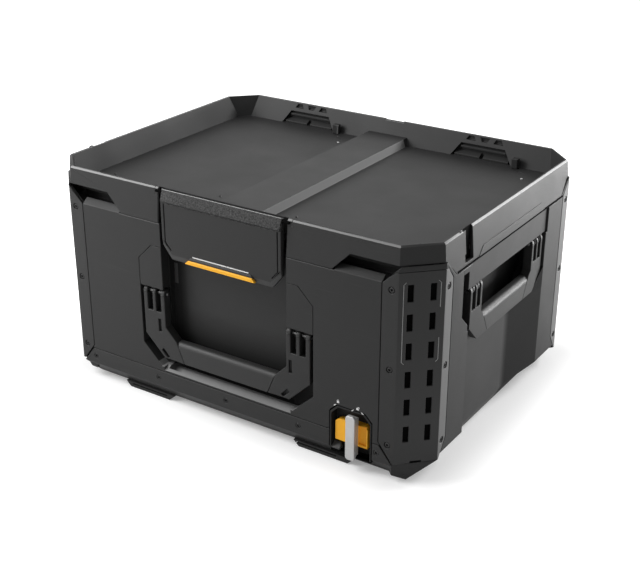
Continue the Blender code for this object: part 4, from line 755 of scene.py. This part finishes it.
def lid_sides():
    """Raised side panels, near-black strips of painted shade in the grooves and seams, and the ends and nubs
    of the rim.
    """
    taper = LID_TAPER / (RIM_TOP - SEAM)
    lean = heading(1, 0, taper)
    panel = local_block("lid_side_panel_right", (0.2780, -0.093, PANEL_FOOT), (0.2880, 0.095, 0.2690))
    trim(panel, at(HALF_X + 0.0006, 0, SEAM), lean)
    trim(panel, at(0.280, -0.093, PANEL_FOOT), heading(0, -0.0112, 0.0125))
    trim(panel, at(0.280, 0.095, PANEL_FOOT), heading(0, 0.0112, 0.0085))
    settle_both(soften(panel, 0.0004), "lid_side_panel_left", "lid", LID_SHELL)
    fill = local_block("groove_fill_right", (0.2770, -0.1296, 0.2722), (0.2900, -0.1246, RIM_TOP - 0.0012))
    trim(fill, at(HALF_X, 0, SEAM), lean)
    settle_both(soften(fill, 0.0003), "groove_fill_left", "lid", LID_SHELL)
    # near-black liners in the lid's grooves, as painted shade
    groove_shade = local_block("groove_shade_right", (0.2776, -0.1245, 0.2622), (0.2783, -0.1072, RIM_TOP - 0.0008))
    narrow(groove_shade, looking(1, 0, 0), (1, 0.99, 1), at(0.2783, -0.1158, 0.2800))
    settle_both(groove_shade, "groove_shade_left", "lid", SHADE)
    shadow = local_block("seam_shadow_right", (0.2795, -0.1462, 0.2561), (0.2853, 0.1550, 0.2586))
    narrow(shadow, looking(1, 0, 0), (1, 0.999, 0.96), at(0.2853, 0.0044, 0.2573))
    settle_both(shadow, "seam_shadow_left", "lid", SHADE)
    rim_end = local_block("rim_end_right", (0.0958, -0.2150, 0.2927), (0.1024, -0.2066, RIM_TOP))
    trim(rim_end, at(0, -HALF_Y, SEAM), heading(0, -1, taper))
    trim(rim_end, at(0, -(HALF_Y - LID_TAPER - RIM_EDGE), RIM_TOP - RIM_EDGE), heading(0, -1, 1))
    settle_both(soften(rim_end, 0.0003), "rim_end_left", "lid", LID_SHELL)
    nub_top = RIM_TOP + 0.0012
    nub = local_block("rim_nub_right", (0.2772, -0.1365, RIM_TOP - 0.001), (0.2808, -0.1300, nub_top))
    narrow(nub, looking(0, 0, 1), (0.6, 0.7, 1), at(0.279, -0.1333, nub_top))
    settle_both(soften(nub, 0.0004), "rim_nub_left", "lid", LID_SHELL)


def tray_fittings():
    """Small tips and pegs on the tray floor, and the bars and ledges inside the two stacking sockets."""
    tip_top = TRAY_FLOOR + 0.0014
    for index, (x, y) in enumerate(((-0.237, -0.135), (-0.066, -0.126), (0.057, -0.133), (0.225, -0.1245))):
        low, high = (x - 0.0020, y - 0.0012, TRAY_FLOOR - 0.0005), (x + 0.0020, y + 0.0012, tip_top)
        tip = local_block(f"tray_tip_{index + 1}", low, high)
        narrow(tip, looking(0, 0, 1), (0.6, 0.5, 1), at(x, y, tip_top))
        settle(soften(tip, 0.0003), "lid", "charcoal_plastic", LID_SHELL)
    for side, word in ((-1, "left"), (1, "right")):
        x = side * SOCKET_X
        bar = local_block(f"socket_bar_{word}", (x - 0.036, 0.1996, 0.2815), (x + 0.036, 0.2036, 0.2866))
        narrow(bar, looking(0, -1, 0), (0.97, 1, 0.6), at(x, 0.1996, 0.2815))
        settle(soften(bar, 0.0005), "lid", "charcoal_plastic", LID_SHELL)
        for index, (start, end) in enumerate(((-0.0415, -0.0025), (0.0025, 0.0415))):
            low, high = (x + start, 0.1945, TRAY_FLOOR), (x + end, 0.2036, 0.2790)
            ledge = local_block(f"socket_ledge_{word}_{index + 1}", low, high)
            trim(ledge, at(x, 0.1945, 0.2738), heading(0, -0.5, 1))
            settle(soften(ledge, 0.0005), "lid", "charcoal_plastic", LID_SHELL)
        foot, top = (at(x + 0.082, 0.150, TRAY_FLOOR + rise) for rise in (-0.001, 0.0009))
        peg = rod(f"tray_peg_{word}", 0.0016, foot, top, 16)
        settle(soften(peg, 0.0005), "lid", "bright_metal", LEVER_METAL)


# Corner guards, rails, feet and their screws

def guard_places(side, end):
    """Places and outward directions of one guard's screws."""
    for height in GUARD_SCREW_HEIGHTS:
        yield at(side * GUARD_SCREW_X, end * HALF_Y, height), Vector((0, end, 0))
        yield at(side * HALF_X, end * GUARD_SCREW_Y, height), Vector((side, 0, 0))


def socket_screw():
    """One screw facing up: rounded head, hexagon socket, shank."""
    screw = rod("screw_master", 0.0034, (0, 0, -0.0022), (0, 0, 0))
    start_shaping(screw)
    pick_edges(screw, lambda a, b: a.z > -0.0001 and b.z > -0.0001)
    bpy.ops.mesh.bevel(offset=0.0007, segments=3)
    pick_faces(screw, looking(0, 0, -1))
    bpy.ops.mesh.inset(thickness=0.0017)
    bpy.ops.mesh.extrude_region_move(TRANSFORM_OT_translate={"value": (0, 0, -0.0060)})
    stop_shaping()
    carve(screw, rod("screw_socket_tool", 0.0018, (0, 0, -0.0014), (0, 0, 0.002), 6))
    alone(screw)
    bpy.ops.object.shade_smooth_by_angle(angle=radians(35))
    return screw


def guard_extras(onto_chamfer):
    """What a guard's chamfer carries: outline strokes, a dark backing of painted shade behind the slots, a
    wedge at its foot.
    """
    extras = []
    for name, way, low, high, hooks in (
        ("inner", -1, 0.1610, 0.2570, (-1, 1)),
        ("outer_high", 1, 0.2270, 0.2570, (1,)),
        ("outer_low", 1, 0.1610, 0.1890, (-1,)),
    ):
        x = way * STROKE_X
        line = block(f"guard_line_{name}", (x - STROKE_HALF, -0.00015, low), (x + STROKE_HALF, 0.0003, high))
        for hook in hooks:
            push(line, looking(0, 0, hook), (-way * STROKE_HOOK, 0, hook * STROKE_HOOK))
        extras.append((line, "guard_plastic", LINE_PRINT))
    # a near-black sheet behind the slots, as painted shade
    shade_sheet = block("slot_shade_sheet", (-0.0196, 0.0032, 0.0510), (0.0196, 0.0040, 0.2600))
    extras.append((soften(shade_sheet, 0.0002), "guard_plastic", SHADE))
    wedge = block("base_wedge", (-0.0285, 0.0004, 0.0022), (0.0272, 0.0120, 0.0246))
    for cut in ((-0.0068, 0, -0.0190), (0.0224, 0, -0.0382), (-0.17, -0.98, 0)):
        trim(wedge, Vector((-0.0110, 0.0004, 0.0022)), heading(*cut))
    extras.append((soften(wedge, 0.0006), "charcoal_plastic", SHELL))
    for piece, _, _ in extras:
        piece.data.transform(onto_chamfer)
    return extras


def ease_inner_faces(guard, node, side, end):
    """Draws a guard's inner ends outwards, clear of the tub."""
    low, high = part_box(node)
    inner_x, inner_y = (low if side > 0 else high).x, (high if end < 0 else low).y
    shift(
        guard,
        lambda place, normal: normal.y * end < -0.9 and abs(place.y - inner_y) < 0.0002,
        (0, end * GUARD_EASE, 0),
    )
    shift(
        guard,
        lambda place, normal: normal.x * side < -0.9 and abs(place.x - inner_x) < 0.0002,
        (side * GUARD_EASE, 0, 0),
    )


def corner_guards(screw):
    middle = at(HALF_X - CORNER_LEG / 2, -HALF_Y + CORNER_LEG / 2, 0)
    turn = Matrix((heading(1, 1, 0), heading(-1, 1, 0), (0, 0, 1))).transposed().to_4x4()
    extras = guard_extras(Matrix.Translation(middle) @ turn)
    for side, side_word in ((1, "right"), (-1, "left")):
        for end, end_word in ((-1, "front"), (1, "rear")):
            where = f"{end_word}_{side_word}"
            node = f"corner_guard_{where}"
            guard = moulding(node, f"guard_{where}")
            places = list(guard_places(side, end))
            tools = []
            for index, (place, outwards) in enumerate(places):
                start, stop = place - outwards * 0.0016, place + outwards * 0.002
                tools.append(rod(f"screw_seat_tool_{index}", 0.0042, start, stop))
            corner = Vector((side * middle.x, end * -(middle.y - MIDDLE_Y) + MIDDLE_Y, 0))
            notch = block("guard_notch_tool", (-0.007, -0.005, 0.0240), (0.007, 0.005, 0.0275))
            turn = Matrix.Rotation(radians(45) * -side * end, 4, "Z")
            notch.data.transform(Matrix.Translation(corner) @ turn)
            carve(guard, *tools, notch)
            ease_inner_faces(guard, node, side, end)
            settle(soften(guard, 0.0006), "box", "guard_plastic", GUARD, node)
            for index, (place, outwards) in enumerate(places):
                seat = facing(place - outwards * 0.0006, outwards)
                head = copy_of(screw, f"guard_screw_{where}_{index + 1}", seat)
                settle(head, "box", "dark_steel", SCREW_METAL)
            change = Matrix.Diagonal((side, -end, 1, 1))
            change.translation.y = MIDDLE_Y - change[1][1] * MIDDLE_Y
            for master, slot, finish in extras:
                if side > 0 or master.name != "base_wedge":
                    settle(copy_of(master, f"{master.name}_{where}", change), "box", slot, finish)
    for master, _, _ in extras:
        bpy.data.objects.remove(master, do_unlink=True)


def rails_and_feet(screw):
    for end, way in (("front", -1), ("rear", 1)):
        outwards = Vector((0, way, 0))
        rail_node = f"{end}_base_rail"
        rail = moulding(rail_node, f"{end}_rail")
        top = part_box(rail_node)[1].z
        shift(rail, lambda place, normal: normal.z > 0.9 and place.z > top - 0.0003, (0, 0, -0.0005))
        toe = local_block(f"{end}_rail_toe", (-0.2300, 0.1900, 0.0048), (0.2600, 0.2034, 0.0097), end=way)
        trim(toe, at(0.2550, way * 0.2035, 0), heading(1, way, 0))
        trim(toe, at(0, way * 0.2034, 0.0093), heading(0, way * 0.74, -0.67))
        for piece in (rail, toe):
            trim(piece, *BASE_SLOPE)
        settle(soften(rail, 0.0008), "box", "charcoal_plastic", RAIL, rail_node)
        settle(soften(toe, 0.0005), "box", "charcoal_plastic", RAIL)
        for index in range(5):
            node = f"{end}_rail_screw_{index + 1}"
            head = copy_of(screw, f"{end}_rail_bolt_{index + 1}", facing(outer_end(node, outwards), outwards))
            settle(head, "box", "dark_steel", SCREW_METAL, node)
        for side in ("left", "right"):
            node = f"foot_{end}_{side}"
            foot = moulding(node, f"{end}_{side}_foot_pad")
            if side == "right":
                shift(foot, looking(1, 0, 0, 0.5), (0.0120, 0, 0))
                shift(foot, looking(-1, 0, 0, 0.5), (0.0080, 0, 0))
            low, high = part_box(node)
            face = outer_end(node, outwards).y
            slot_low = (low.x + 0.012, face - 0.004, 0.0036)
            slot_high = (high.x - 0.012, face + 0.004, 0.0060)
            carve(foot, block("foot_slot_tool", slot_low, slot_high))
            settle(soften(foot, 0.0006), "box", "grip_rubber", FOOT_RUBBER, node)


# Latch

def latch_parts():
    flap = moulding("latch_flap", "latch_cover")
    tools = []
    face = -LATCH_FACE
    half = LATCH_GROOVE_HALF
    for side in (-1, 1):
        wedge = block(f"latch_corner_{side}", (-0.02, -0.02, 0), (0.02, 0.02, 0.01))
        slope = heading(side * 0.9456, -5, -0.7404)
        wedge.data.transform(facing(at(side * 0.0826, face + 0.0012, 0.2209), slope))
        low, high = (0.0853 - half, face - 0.003, 0.2335), (0.0853 + half, face + 0.0018, 0.2845)
        groove = local_block(f"latch_groove_{side}", low, high, side)
        slant = block(f"latch_slant_{side}", (-half, -0.003, -0.0066), (half, 0.003, 0.0066))
        turn = Matrix.Rotation(radians(41.9) * side, 4, "Y")
        slant.data.transform(Matrix.Translation(at(side * 0.0808, face - 0.001, 0.2291)) @ turn)
        tools += [wedge, groove, slant]
    under = block("latch_under_tool", (-0.1, -0.02, 0), (0.1, 0.02, 0.02))
    under.data.transform(facing(at(0, face, 0.2190), heading(0, -0.97, -0.243)))
    lean = heading(0, -0.94, 0.34)
    brow = at(0, -0.2112, RIM_TOP)
    front = block("latch_front_tool", (-0.1, -0.010, 0), (0.1, 0.012, 0.02))
    front.data.transform(facing(brow + lean * -0.0004, lean))
    carve(flap, *tools, under, front)
    settle(soften(flap, 0.0007), "latch", "charcoal_plastic", LATCH, "latch_flap")
    roll = local_block("latch_roll", (-0.0895, face - 0.0026, 0.2848), (0.0895, -0.2098, RIM_TOP))
    trim(roll, brow, lean)
    trim(roll, at(0, face - 0.0014, 0.2872), heading(0, -0.62, -0.78))
    trim(roll, at(0, face + 0.0020, 0.2848), heading(0, 0.975, -0.22))
    settle(soften(roll, 0.0008, 3, 15), "latch", "charcoal_plastic", LATCH)
    strip = moulding("latch_pull_strip", "pull_strip")
    shift(strip, looking(0, 0, 1, 0.7), (0, 0, 0.0012))
    shift(strip, looking(0, -1, 0, 0.7), (0, -0.0010, 0))
    shift(strip, looking(0, 0, -1, 0.7), (0, 0, 0.0010))
    settle(soften(strip, 0.0004), "latch", "orange_plastic", ORANGE, "latch_pull_strip")
    plate = local_block("pull_strip_face", (-0.0485, face - 0.0030, 0.2130), (0.0485, face + 0.0010, 0.2180))
    narrow(plate, looking(0, 0, -1), (1.10, 1, 1), at(0, face, 0.2130))
    trim(plate, at(0, face - 0.0030, 0.2172), heading(0, -0.6, 0.8))
    settle(soften(plate, 0.0004), "latch", "orange_plastic", ORANGE)
    lip = local_block("latch_lip", (-0.0430, face - 0.0016, 0.2178), (0.0430, face + 0.0010, 0.2232))
    narrow(lip, looking(0, 0, -1), (1.18, 1, 1), at(0, face, 0.2178))
    trim(lip, at(0, face - 0.0016, 0.2196), heading(0, -0.8, 0.6))
    settle(soften(lip, 0.0004), "latch", "charcoal_plastic", LATCH)
    # a thin raised ridge along the lip's top edge, painted white as its highlight
    line = local_block("latch_lip_highlight", (-0.0425, face - 0.0006, 0.2224), (0.0425, face + 0.0004, 0.2238))
    narrow(line, looking(0, -1, 0), (0.999, 1, 0.8), at(0, face, 0.2231))
    settle(line, "latch", "charcoal_plastic", PRINT)


# Handles

def pin_head():
    """A domed pin head facing up, at the origin."""
    head = rod("pin_head_master", 0.0022, (0, 0, 0), (0, 0, 0.0014), 20)
    start_shaping(head)
    pick_edges(head, lambda a, b: a.z > 0.0013 and b.z > 0.0013)
    bpy.ops.mesh.bevel(offset=0.0009, segments=3)
    stop_shaping()
    alone(head)
    bpy.ops.object.shade_smooth_by_angle(angle=radians(40))
    return head


def cap_pin(head, node, name, outwards):
    """Puts a head on the end of a frame pin that looks outwards."""
    cap = copy_of(head, name, facing(outer_end(node, outwards), outwards))
    settle(cap, "box", "pin_steel", PIN_METAL)


def lengthen(piece):
    """Drops the lower part of a side handle, which makes its arms longer."""
    start_shaping(piece)
    bpy.ops.mesh.select_mode(type="VERT")
    bpy.ops.mesh.select_all(action="DESELECT")
    work = bmesh.from_edit_mesh(piece.data)
    for vert in work.verts:
        vert.select_set(vert.co.z < SIDE_ARM_CUT)
    bmesh.update_edit_mesh(piece.data)
    bpy.ops.transform.translate(value=(0, 0, -SIDE_ARM_GROWTH))
    stop_shaping()
    return piece


def front_handle(head):
    bail = moulding("front_handle_frame", "front_bail")
    face = -HALF_Y
    half = ARM_SLIT_HALF
    tools = []
    for side, slit_x, slant_x in ((-1, -0.104, -0.0970), (1, 0.1005, 0.0925)):
        low, high = (slit_x - half, face - 0.002, 0.1035), (slit_x + half, face + 0.0040, 0.1215)
        tools.append(local_block(f"arm_slit_{side}", low, high))
        slant = block(f"arm_slant_slit_{side}", (-half, -0.005, -0.0068), (half, 0.005, 0.0068))
        turn = Matrix.Rotation(radians(45) * side, 4, "Y")
        slant.data.transform(Matrix.Translation(at(slant_x, face, 0.0738)) @ turn)
        tools.append(slant)
        for near, far in FRONT_FORK_GAPS:
            low, high = (near - 0.0011, -0.2300, 0.1312), (far + 0.0011, -0.1900, 0.1700)
            tools.append(local_block(f"fork_gap_{side}_{near}", low, high, side))
    carve(bail, *tools)
    settle(soften(bail, 0.0011), "front_handle", "guard_plastic", FRAME, "front_handle_frame")
    grip = moulding("front_handle_grip", "front_grip")
    settle(soften(grip, 0.0008), "front_handle", "grip_rubber", RUBBER, "front_handle_grip")
    for side, word in ((-1, "left"), (1, "right")):
        node = f"front_handle_bracket_{word}"
        bracket = moulding(node, f"front_bracket_{word}")
        tools = []
        for near, far in FRONT_FORK_GAPS:
            low, high = (near - 0.0004, -0.2200, 0.1400), (far + 0.0004, -0.2064, 0.1640)
            tools.append(local_block(f"lug_gap_{near}", low, high, side))
        for near, far in FRONT_FINGERS:
            start, stop = (at(x, FINGER_ROOM_Y, FRONT_PIN_HEIGHT) for x in sorted((side * near, side * far)))
            tools.append(rod(f"finger_room_{near}", FINGER_ROOM_RADIUS, start, stop, 32))
        carve(bracket, *tools)
        settle(soften(bracket, 0.0007), "box", "charcoal_plastic", SHELL, node)
        cap_pin(head, f"front_handle_pin_{word}", f"front_pin_head_{word}", Vector((-side, 0, 0)))


def side_handles(head):
    for side, word in ((1, "right"), (-1, "left")):
        body = f"{word}_handle"
        bail = lengthen(moulding(f"{body}_frame", f"{word}_bail"))
        tools = []
        for end in (-1, 1):
            for near, far in SIDE_FORK_GAPS:
                low, high = (0.2600, near - 0.0014, 0.1896), (0.3000, far + 0.0014, 0.2300)
                tools.append(local_block(f"side_fork_gap_{end}_{near}", low, high, side, end))
        carve(bail, *tools)
        settle(soften(bail, 0.0006), body, "guard_plastic", FRAME, f"{body}_frame")
        grip = lengthen(moulding(f"{body}_grip", f"{word}_grip"))
        settle(soften(grip, 0.0008), body, "grip_rubber", RUBBER, f"{body}_grip")
        mount = moulding(f"{body}_mount", f"{word}_mount")
        settle(soften(mount, 0.0007), "box", "charcoal_plastic", SHELL, f"{body}_mount")
        for end, way in (("front", 1), ("rear", -1)):
            cap_pin(head, f"{body}_pin_{end}", f"{word}_pin_head_{end}", Vector((0, way, 0)))


# Stack lock

def stack_lock():
    face = -HALF_Y
    low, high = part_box("stack_lock_housing")
    middle = (low + high) / 2
    cup = moulding("stack_lock_housing", "lock_cup")
    narrow(cup, lambda place, normal: True, (0.976, 1, 0.985), (middle.x, middle.y, low.z))
    settle(soften(cup, 0.0006), "box", "guard_plastic", LOCK_CUP, "stack_lock_housing")
    cam = moulding("stack_lock_cam", "lock_block")
    shift(cam, looking(-1, 0, 0), (-0.0018, 0, 0))
    low, high = (0.1965, face - 0.01, 0.0345), (0.2066, face + 0.0066, 0.0600)
    carve(cam, local_block("lock_block_step_tool", low, high))
    settle(soften(cam, 0.0009), "stack_lock", "orange_plastic", ORANGE, "stack_lock_cam")
    lever = local_block("lock_lever_bar", (0.1830, face - 0.0056, 0.0140), (0.1958, face + 0.0048, 0.0745))
    for x_way, z_way in ((-1, -1), (-1, 1), (1, -1), (1, 1)):
        corner = at(0.1894 + x_way * 0.0064, face, 0.04425 + z_way * 0.03025)
        cut = heading(x_way, 0, z_way)
        trim(lever, corner - cut * 0.0017, cut)
    carve(
        lever,
        local_block("lever_foot_tool", (0.17, face - 0.0008, 0.0100), (0.21, face + 0.01, 0.0190)),
        local_block("lever_head_tool", (0.17, face - 0.0008, 0.0712), (0.21, face + 0.01, 0.0800)),
    )
    settle(soften(lever, 0.0009, 3), "stack_lock", "bright_metal", LEVER_METAL, "stack_lock_lever")
    # the ledge under the stack lock takes the paler finish, as painted light
    ledge = local_block("lock_ledge", (0.1596, face + 0.0008, 0.0190), (0.1714, face + 0.0090, 0.0262))
    trim(ledge, at(0.170, face + 0.0008, 0.0212), heading(0, -0.55, 0.84))
    trim(ledge, at(0.1710, face, 0.0230), heading(0.8, 0, 0.6))
    settle(soften(ledge, 0.0005), "box", "guard_plastic", LIT_MOULDING)
    shade = local_block("lock_shadow", (0.1582, face + 0.0012, 0.0150), (0.2158, face + 0.0140, 0.0172))
    narrow(shade, looking(0, 0, -1), (0.98, 1, 1), at(0.187, face + 0.0140, 0.0150))
    settle(shade, "box", "guard_plastic", SHADE)


def lock_marks():
    """Plain closed and open lock signs above the stack lock, and the short ticks under them."""
    face = -HALF_Y
    for index, (x, z, swing) in enumerate(((0.1693, 0.0858, 0.0), (0.1965, 0.0846, 0.0013))):
        low, high = (x - 0.0018, face - 0.0001, z - 0.0013), (x + 0.0018, face + 0.0003, z + 0.0014)
        sign = local_block(f"lock_sign_{index + 1}", low, high)
        narrow(sign, looking(0, 0, 1), (0.85, 1, 1), at(x, face, z + 0.0014))
        settle(sign, "box", "guard_plastic", PRINT)
        bpy.ops.object.select_all(action="DESELECT")
        bpy.ops.mesh.primitive_torus_add(
            major_radius=0.0011, minor_radius=0.00036, major_segments=20, minor_segments=8,
            location=at(x + swing, face + 0.0001, z + 0.0016), rotation=(radians(90), 0, 0),
        )
        bpy.ops.object.transform_apply(location=True, rotation=True, scale=True)
        bow = trim(named(f"lock_sign_bow_{index + 1}"), at(x, face, z + 0.0010), Vector((0, 0, -1)))
        settle(bow, "box", "guard_plastic", PRINT)
    for index, (x, z, turn) in enumerate(((0.1651, 0.0808, 40), (0.1899, 0.0809, 40), (0.2033, 0.0806, -40))):
        tick = block(f"lock_tick_{index + 1}", (-0.0018, -0.0001, -0.0006), (0.0018, 0.0003, 0.0006))
        narrow(tick, looking(1, 0, 0), (1, 1, 0.7), (0.0018, 0, 0))
        tick.data.transform(Matrix.Translation(at(x, face, z)) @ Matrix.Rotation(radians(-turn), 4, "Y"))
        settle(tick, "box", "guard_plastic", PRINT)


def small_fittings():
    """The stop blocks on the tray, and the finishes of the frame pieces that show as they are, save the latch
    pin, which takes the shadow black as painted shade.
    """
    for side in ("left", "right"):
        stop = moulding(f"stack_stop_{side}", f"tray_stop_{side}")
        settle(soften(stop, 0.0009), "lid", "guard_plastic", LID_SHELL, f"stack_stop_{side}")
    # the latch pin is painted shadow black, as painted shade where it crosses the gaps beside the latch
    kept = {"lid_seal": SEAL, "latch_keeper": SCREW_METAL, "latch_pin": SHADE}
    for pin in (
        "hinge_pin_left", "hinge_pin_right", "stack_lock_shaft",
        "front_handle_pin_left", "front_handle_pin_right",
        "right_handle_pin_front", "right_handle_pin_rear",
        "left_handle_pin_front", "left_handle_pin_rear",
    ):
        kept[pin] = PIN_METAL
    for node, finish in kept.items():
        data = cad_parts[node].data
        data.materials.clear()
        data.materials.append(finish)


# Studio

def photo_camera():
    data = bpy.data.cameras.new("photo_camera")
    data.lens = LENS_MM
    data.sensor_width = SENSOR_MM
    camera = bpy.data.objects.new("photo_camera", data)
    bpy.context.scene.collection.objects.link(camera)
    azimuth, elevation, roll = radians(CAMERA_AZIMUTH), radians(CAMERA_ELEVATION), radians(CAMERA_ROLL)
    ahead = Vector((-sin(azimuth) * cos(elevation), cos(azimuth) * cos(elevation), -sin(elevation)))
    level = ahead.cross(Vector((0, 0, 1))).normalized()
    upright = level.cross(ahead)
    right = level * cos(roll) + upright * sin(roll)
    up = upright * cos(roll) - level * sin(roll)
    turn = Matrix((right, up, -ahead)).transposed().to_4x4()
    camera.matrix_world = Matrix.Translation(at(*CAMERA_PLACE)) @ turn
    bpy.context.scene.camera = camera


def soft_lamp(name, place, aim, width, height, power):
    data = bpy.data.lights.new(name, "AREA")
    data.shape = "RECTANGLE"
    data.size = width
    data.size_y = height
    data.energy = power
    lamp = bpy.data.objects.new(name, data)
    bpy.context.scene.collection.objects.link(lamp)
    lamp.location = place
    lamp.rotation_euler = (Vector(aim) - Vector(place)).to_track_quat("-Z", "Y").to_euler()
    lamp.visible_camera = False


def seen_directly(tree, mirrored=1.0):
    """One for camera rays, a given share for glossy and transmission rays, nought for the rest."""
    path = add(tree, "LightPath").outputs
    either = maths(tree, "MAXIMUM", path["Is Glossy Ray"], path["Is Transmission Ray"])
    return maths(tree, "MAXIMUM", path["Is Camera Ray"], maths(tree, "MULTIPLY", either, mirrored))


def studio_floor():
    """A pale floor that turns white away from the box, where it is seen directly."""
    bpy.ops.object.select_all(action="DESELECT")
    bpy.ops.mesh.primitive_plane_add(size=14, location=(0, 0, -0.0002))
    floor = named("studio_floor")
    made, tree, shader = finish_sheet("pale_floor")
    shader.inputs["Base Color"].default_value = grey(0.82)
    shader.inputs["Roughness"].default_value = 0.9
    shader.inputs["Specular IOR Level"].default_value = 0.0
    shader.inputs["Emission Color"].default_value = grey(1)
    size = vector(tree, "ABSOLUTE", add(tree, "TexCoord").outputs["Object"])
    beyond = vector(tree, "SUBTRACT", size, (0.27, 0.20, 0))
    away = vector(tree, "LENGTH", vector(tree, "MAXIMUM", beyond, (0, 0, 0)))
    fade = {"Value": away, "From Max": 0.12, "To Min": 0.25, "To Max": 0.95}
    rise = add(tree, "MapRange", fade, interpolation_type="SMOOTHSTEP").outputs["Result"]
    glow = maths(tree, "MULTIPLY", seen_directly(tree, 0.42), rise)
    tree.links.new(glow, shader.inputs["Emission Strength"])
    floor.data.materials.append(made)


def studio():
    world = bpy.data.worlds.new("studio")
    bpy.context.scene.world = world
    world.use_nodes = True
    tree = world.node_tree
    sky = tree.nodes["Background"]
    sky.inputs["Color"].default_value = grey(1)
    strength = maths(tree, "MULTIPLY_ADD", seen_directly(tree), 0.80, 0.20)
    tree.links.new(strength, sky.inputs["Strength"])
    studio_floor()
    soft_lamp("top_lamp", (-0.95, -0.75, 1.15), (0.0, -0.10, 0.25), 0.7, 0.9, 20)
    soft_lamp("back_right_lamp", (0.98, 1.32, 1.15), (0.15, 0.0, 0.25), 0.6, 0.6, 22)
    soft_lamp("low_right_lamp", (1.05, 1.50, 0.22), (0.20, 0.0, 0.15), 1.0, 0.36, 26)
    soft_lamp("front_left_lamp", (-1.0, -1.1, 0.5), (-0.2, -0.2, 0.15), 0.5, 0.5, 4)
    bpy.context.scene.view_settings.view_transform = "Standard"


photo_camera()
tub_moulding()
pocket_corners()
lid_moulding()
lid_sides()
tray_fittings()
SCREW = socket_screw()
corner_guards(SCREW)
rails_and_feet(SCREW)
bpy.data.objects.remove(SCREW, do_unlink=True)
latch_parts()
PIN_HEAD = pin_head()
front_handle(PIN_HEAD)
side_handles(PIN_HEAD)
bpy.data.objects.remove(PIN_HEAD, do_unlink=True)
stack_lock()
lock_marks()
small_fittings()
studio()
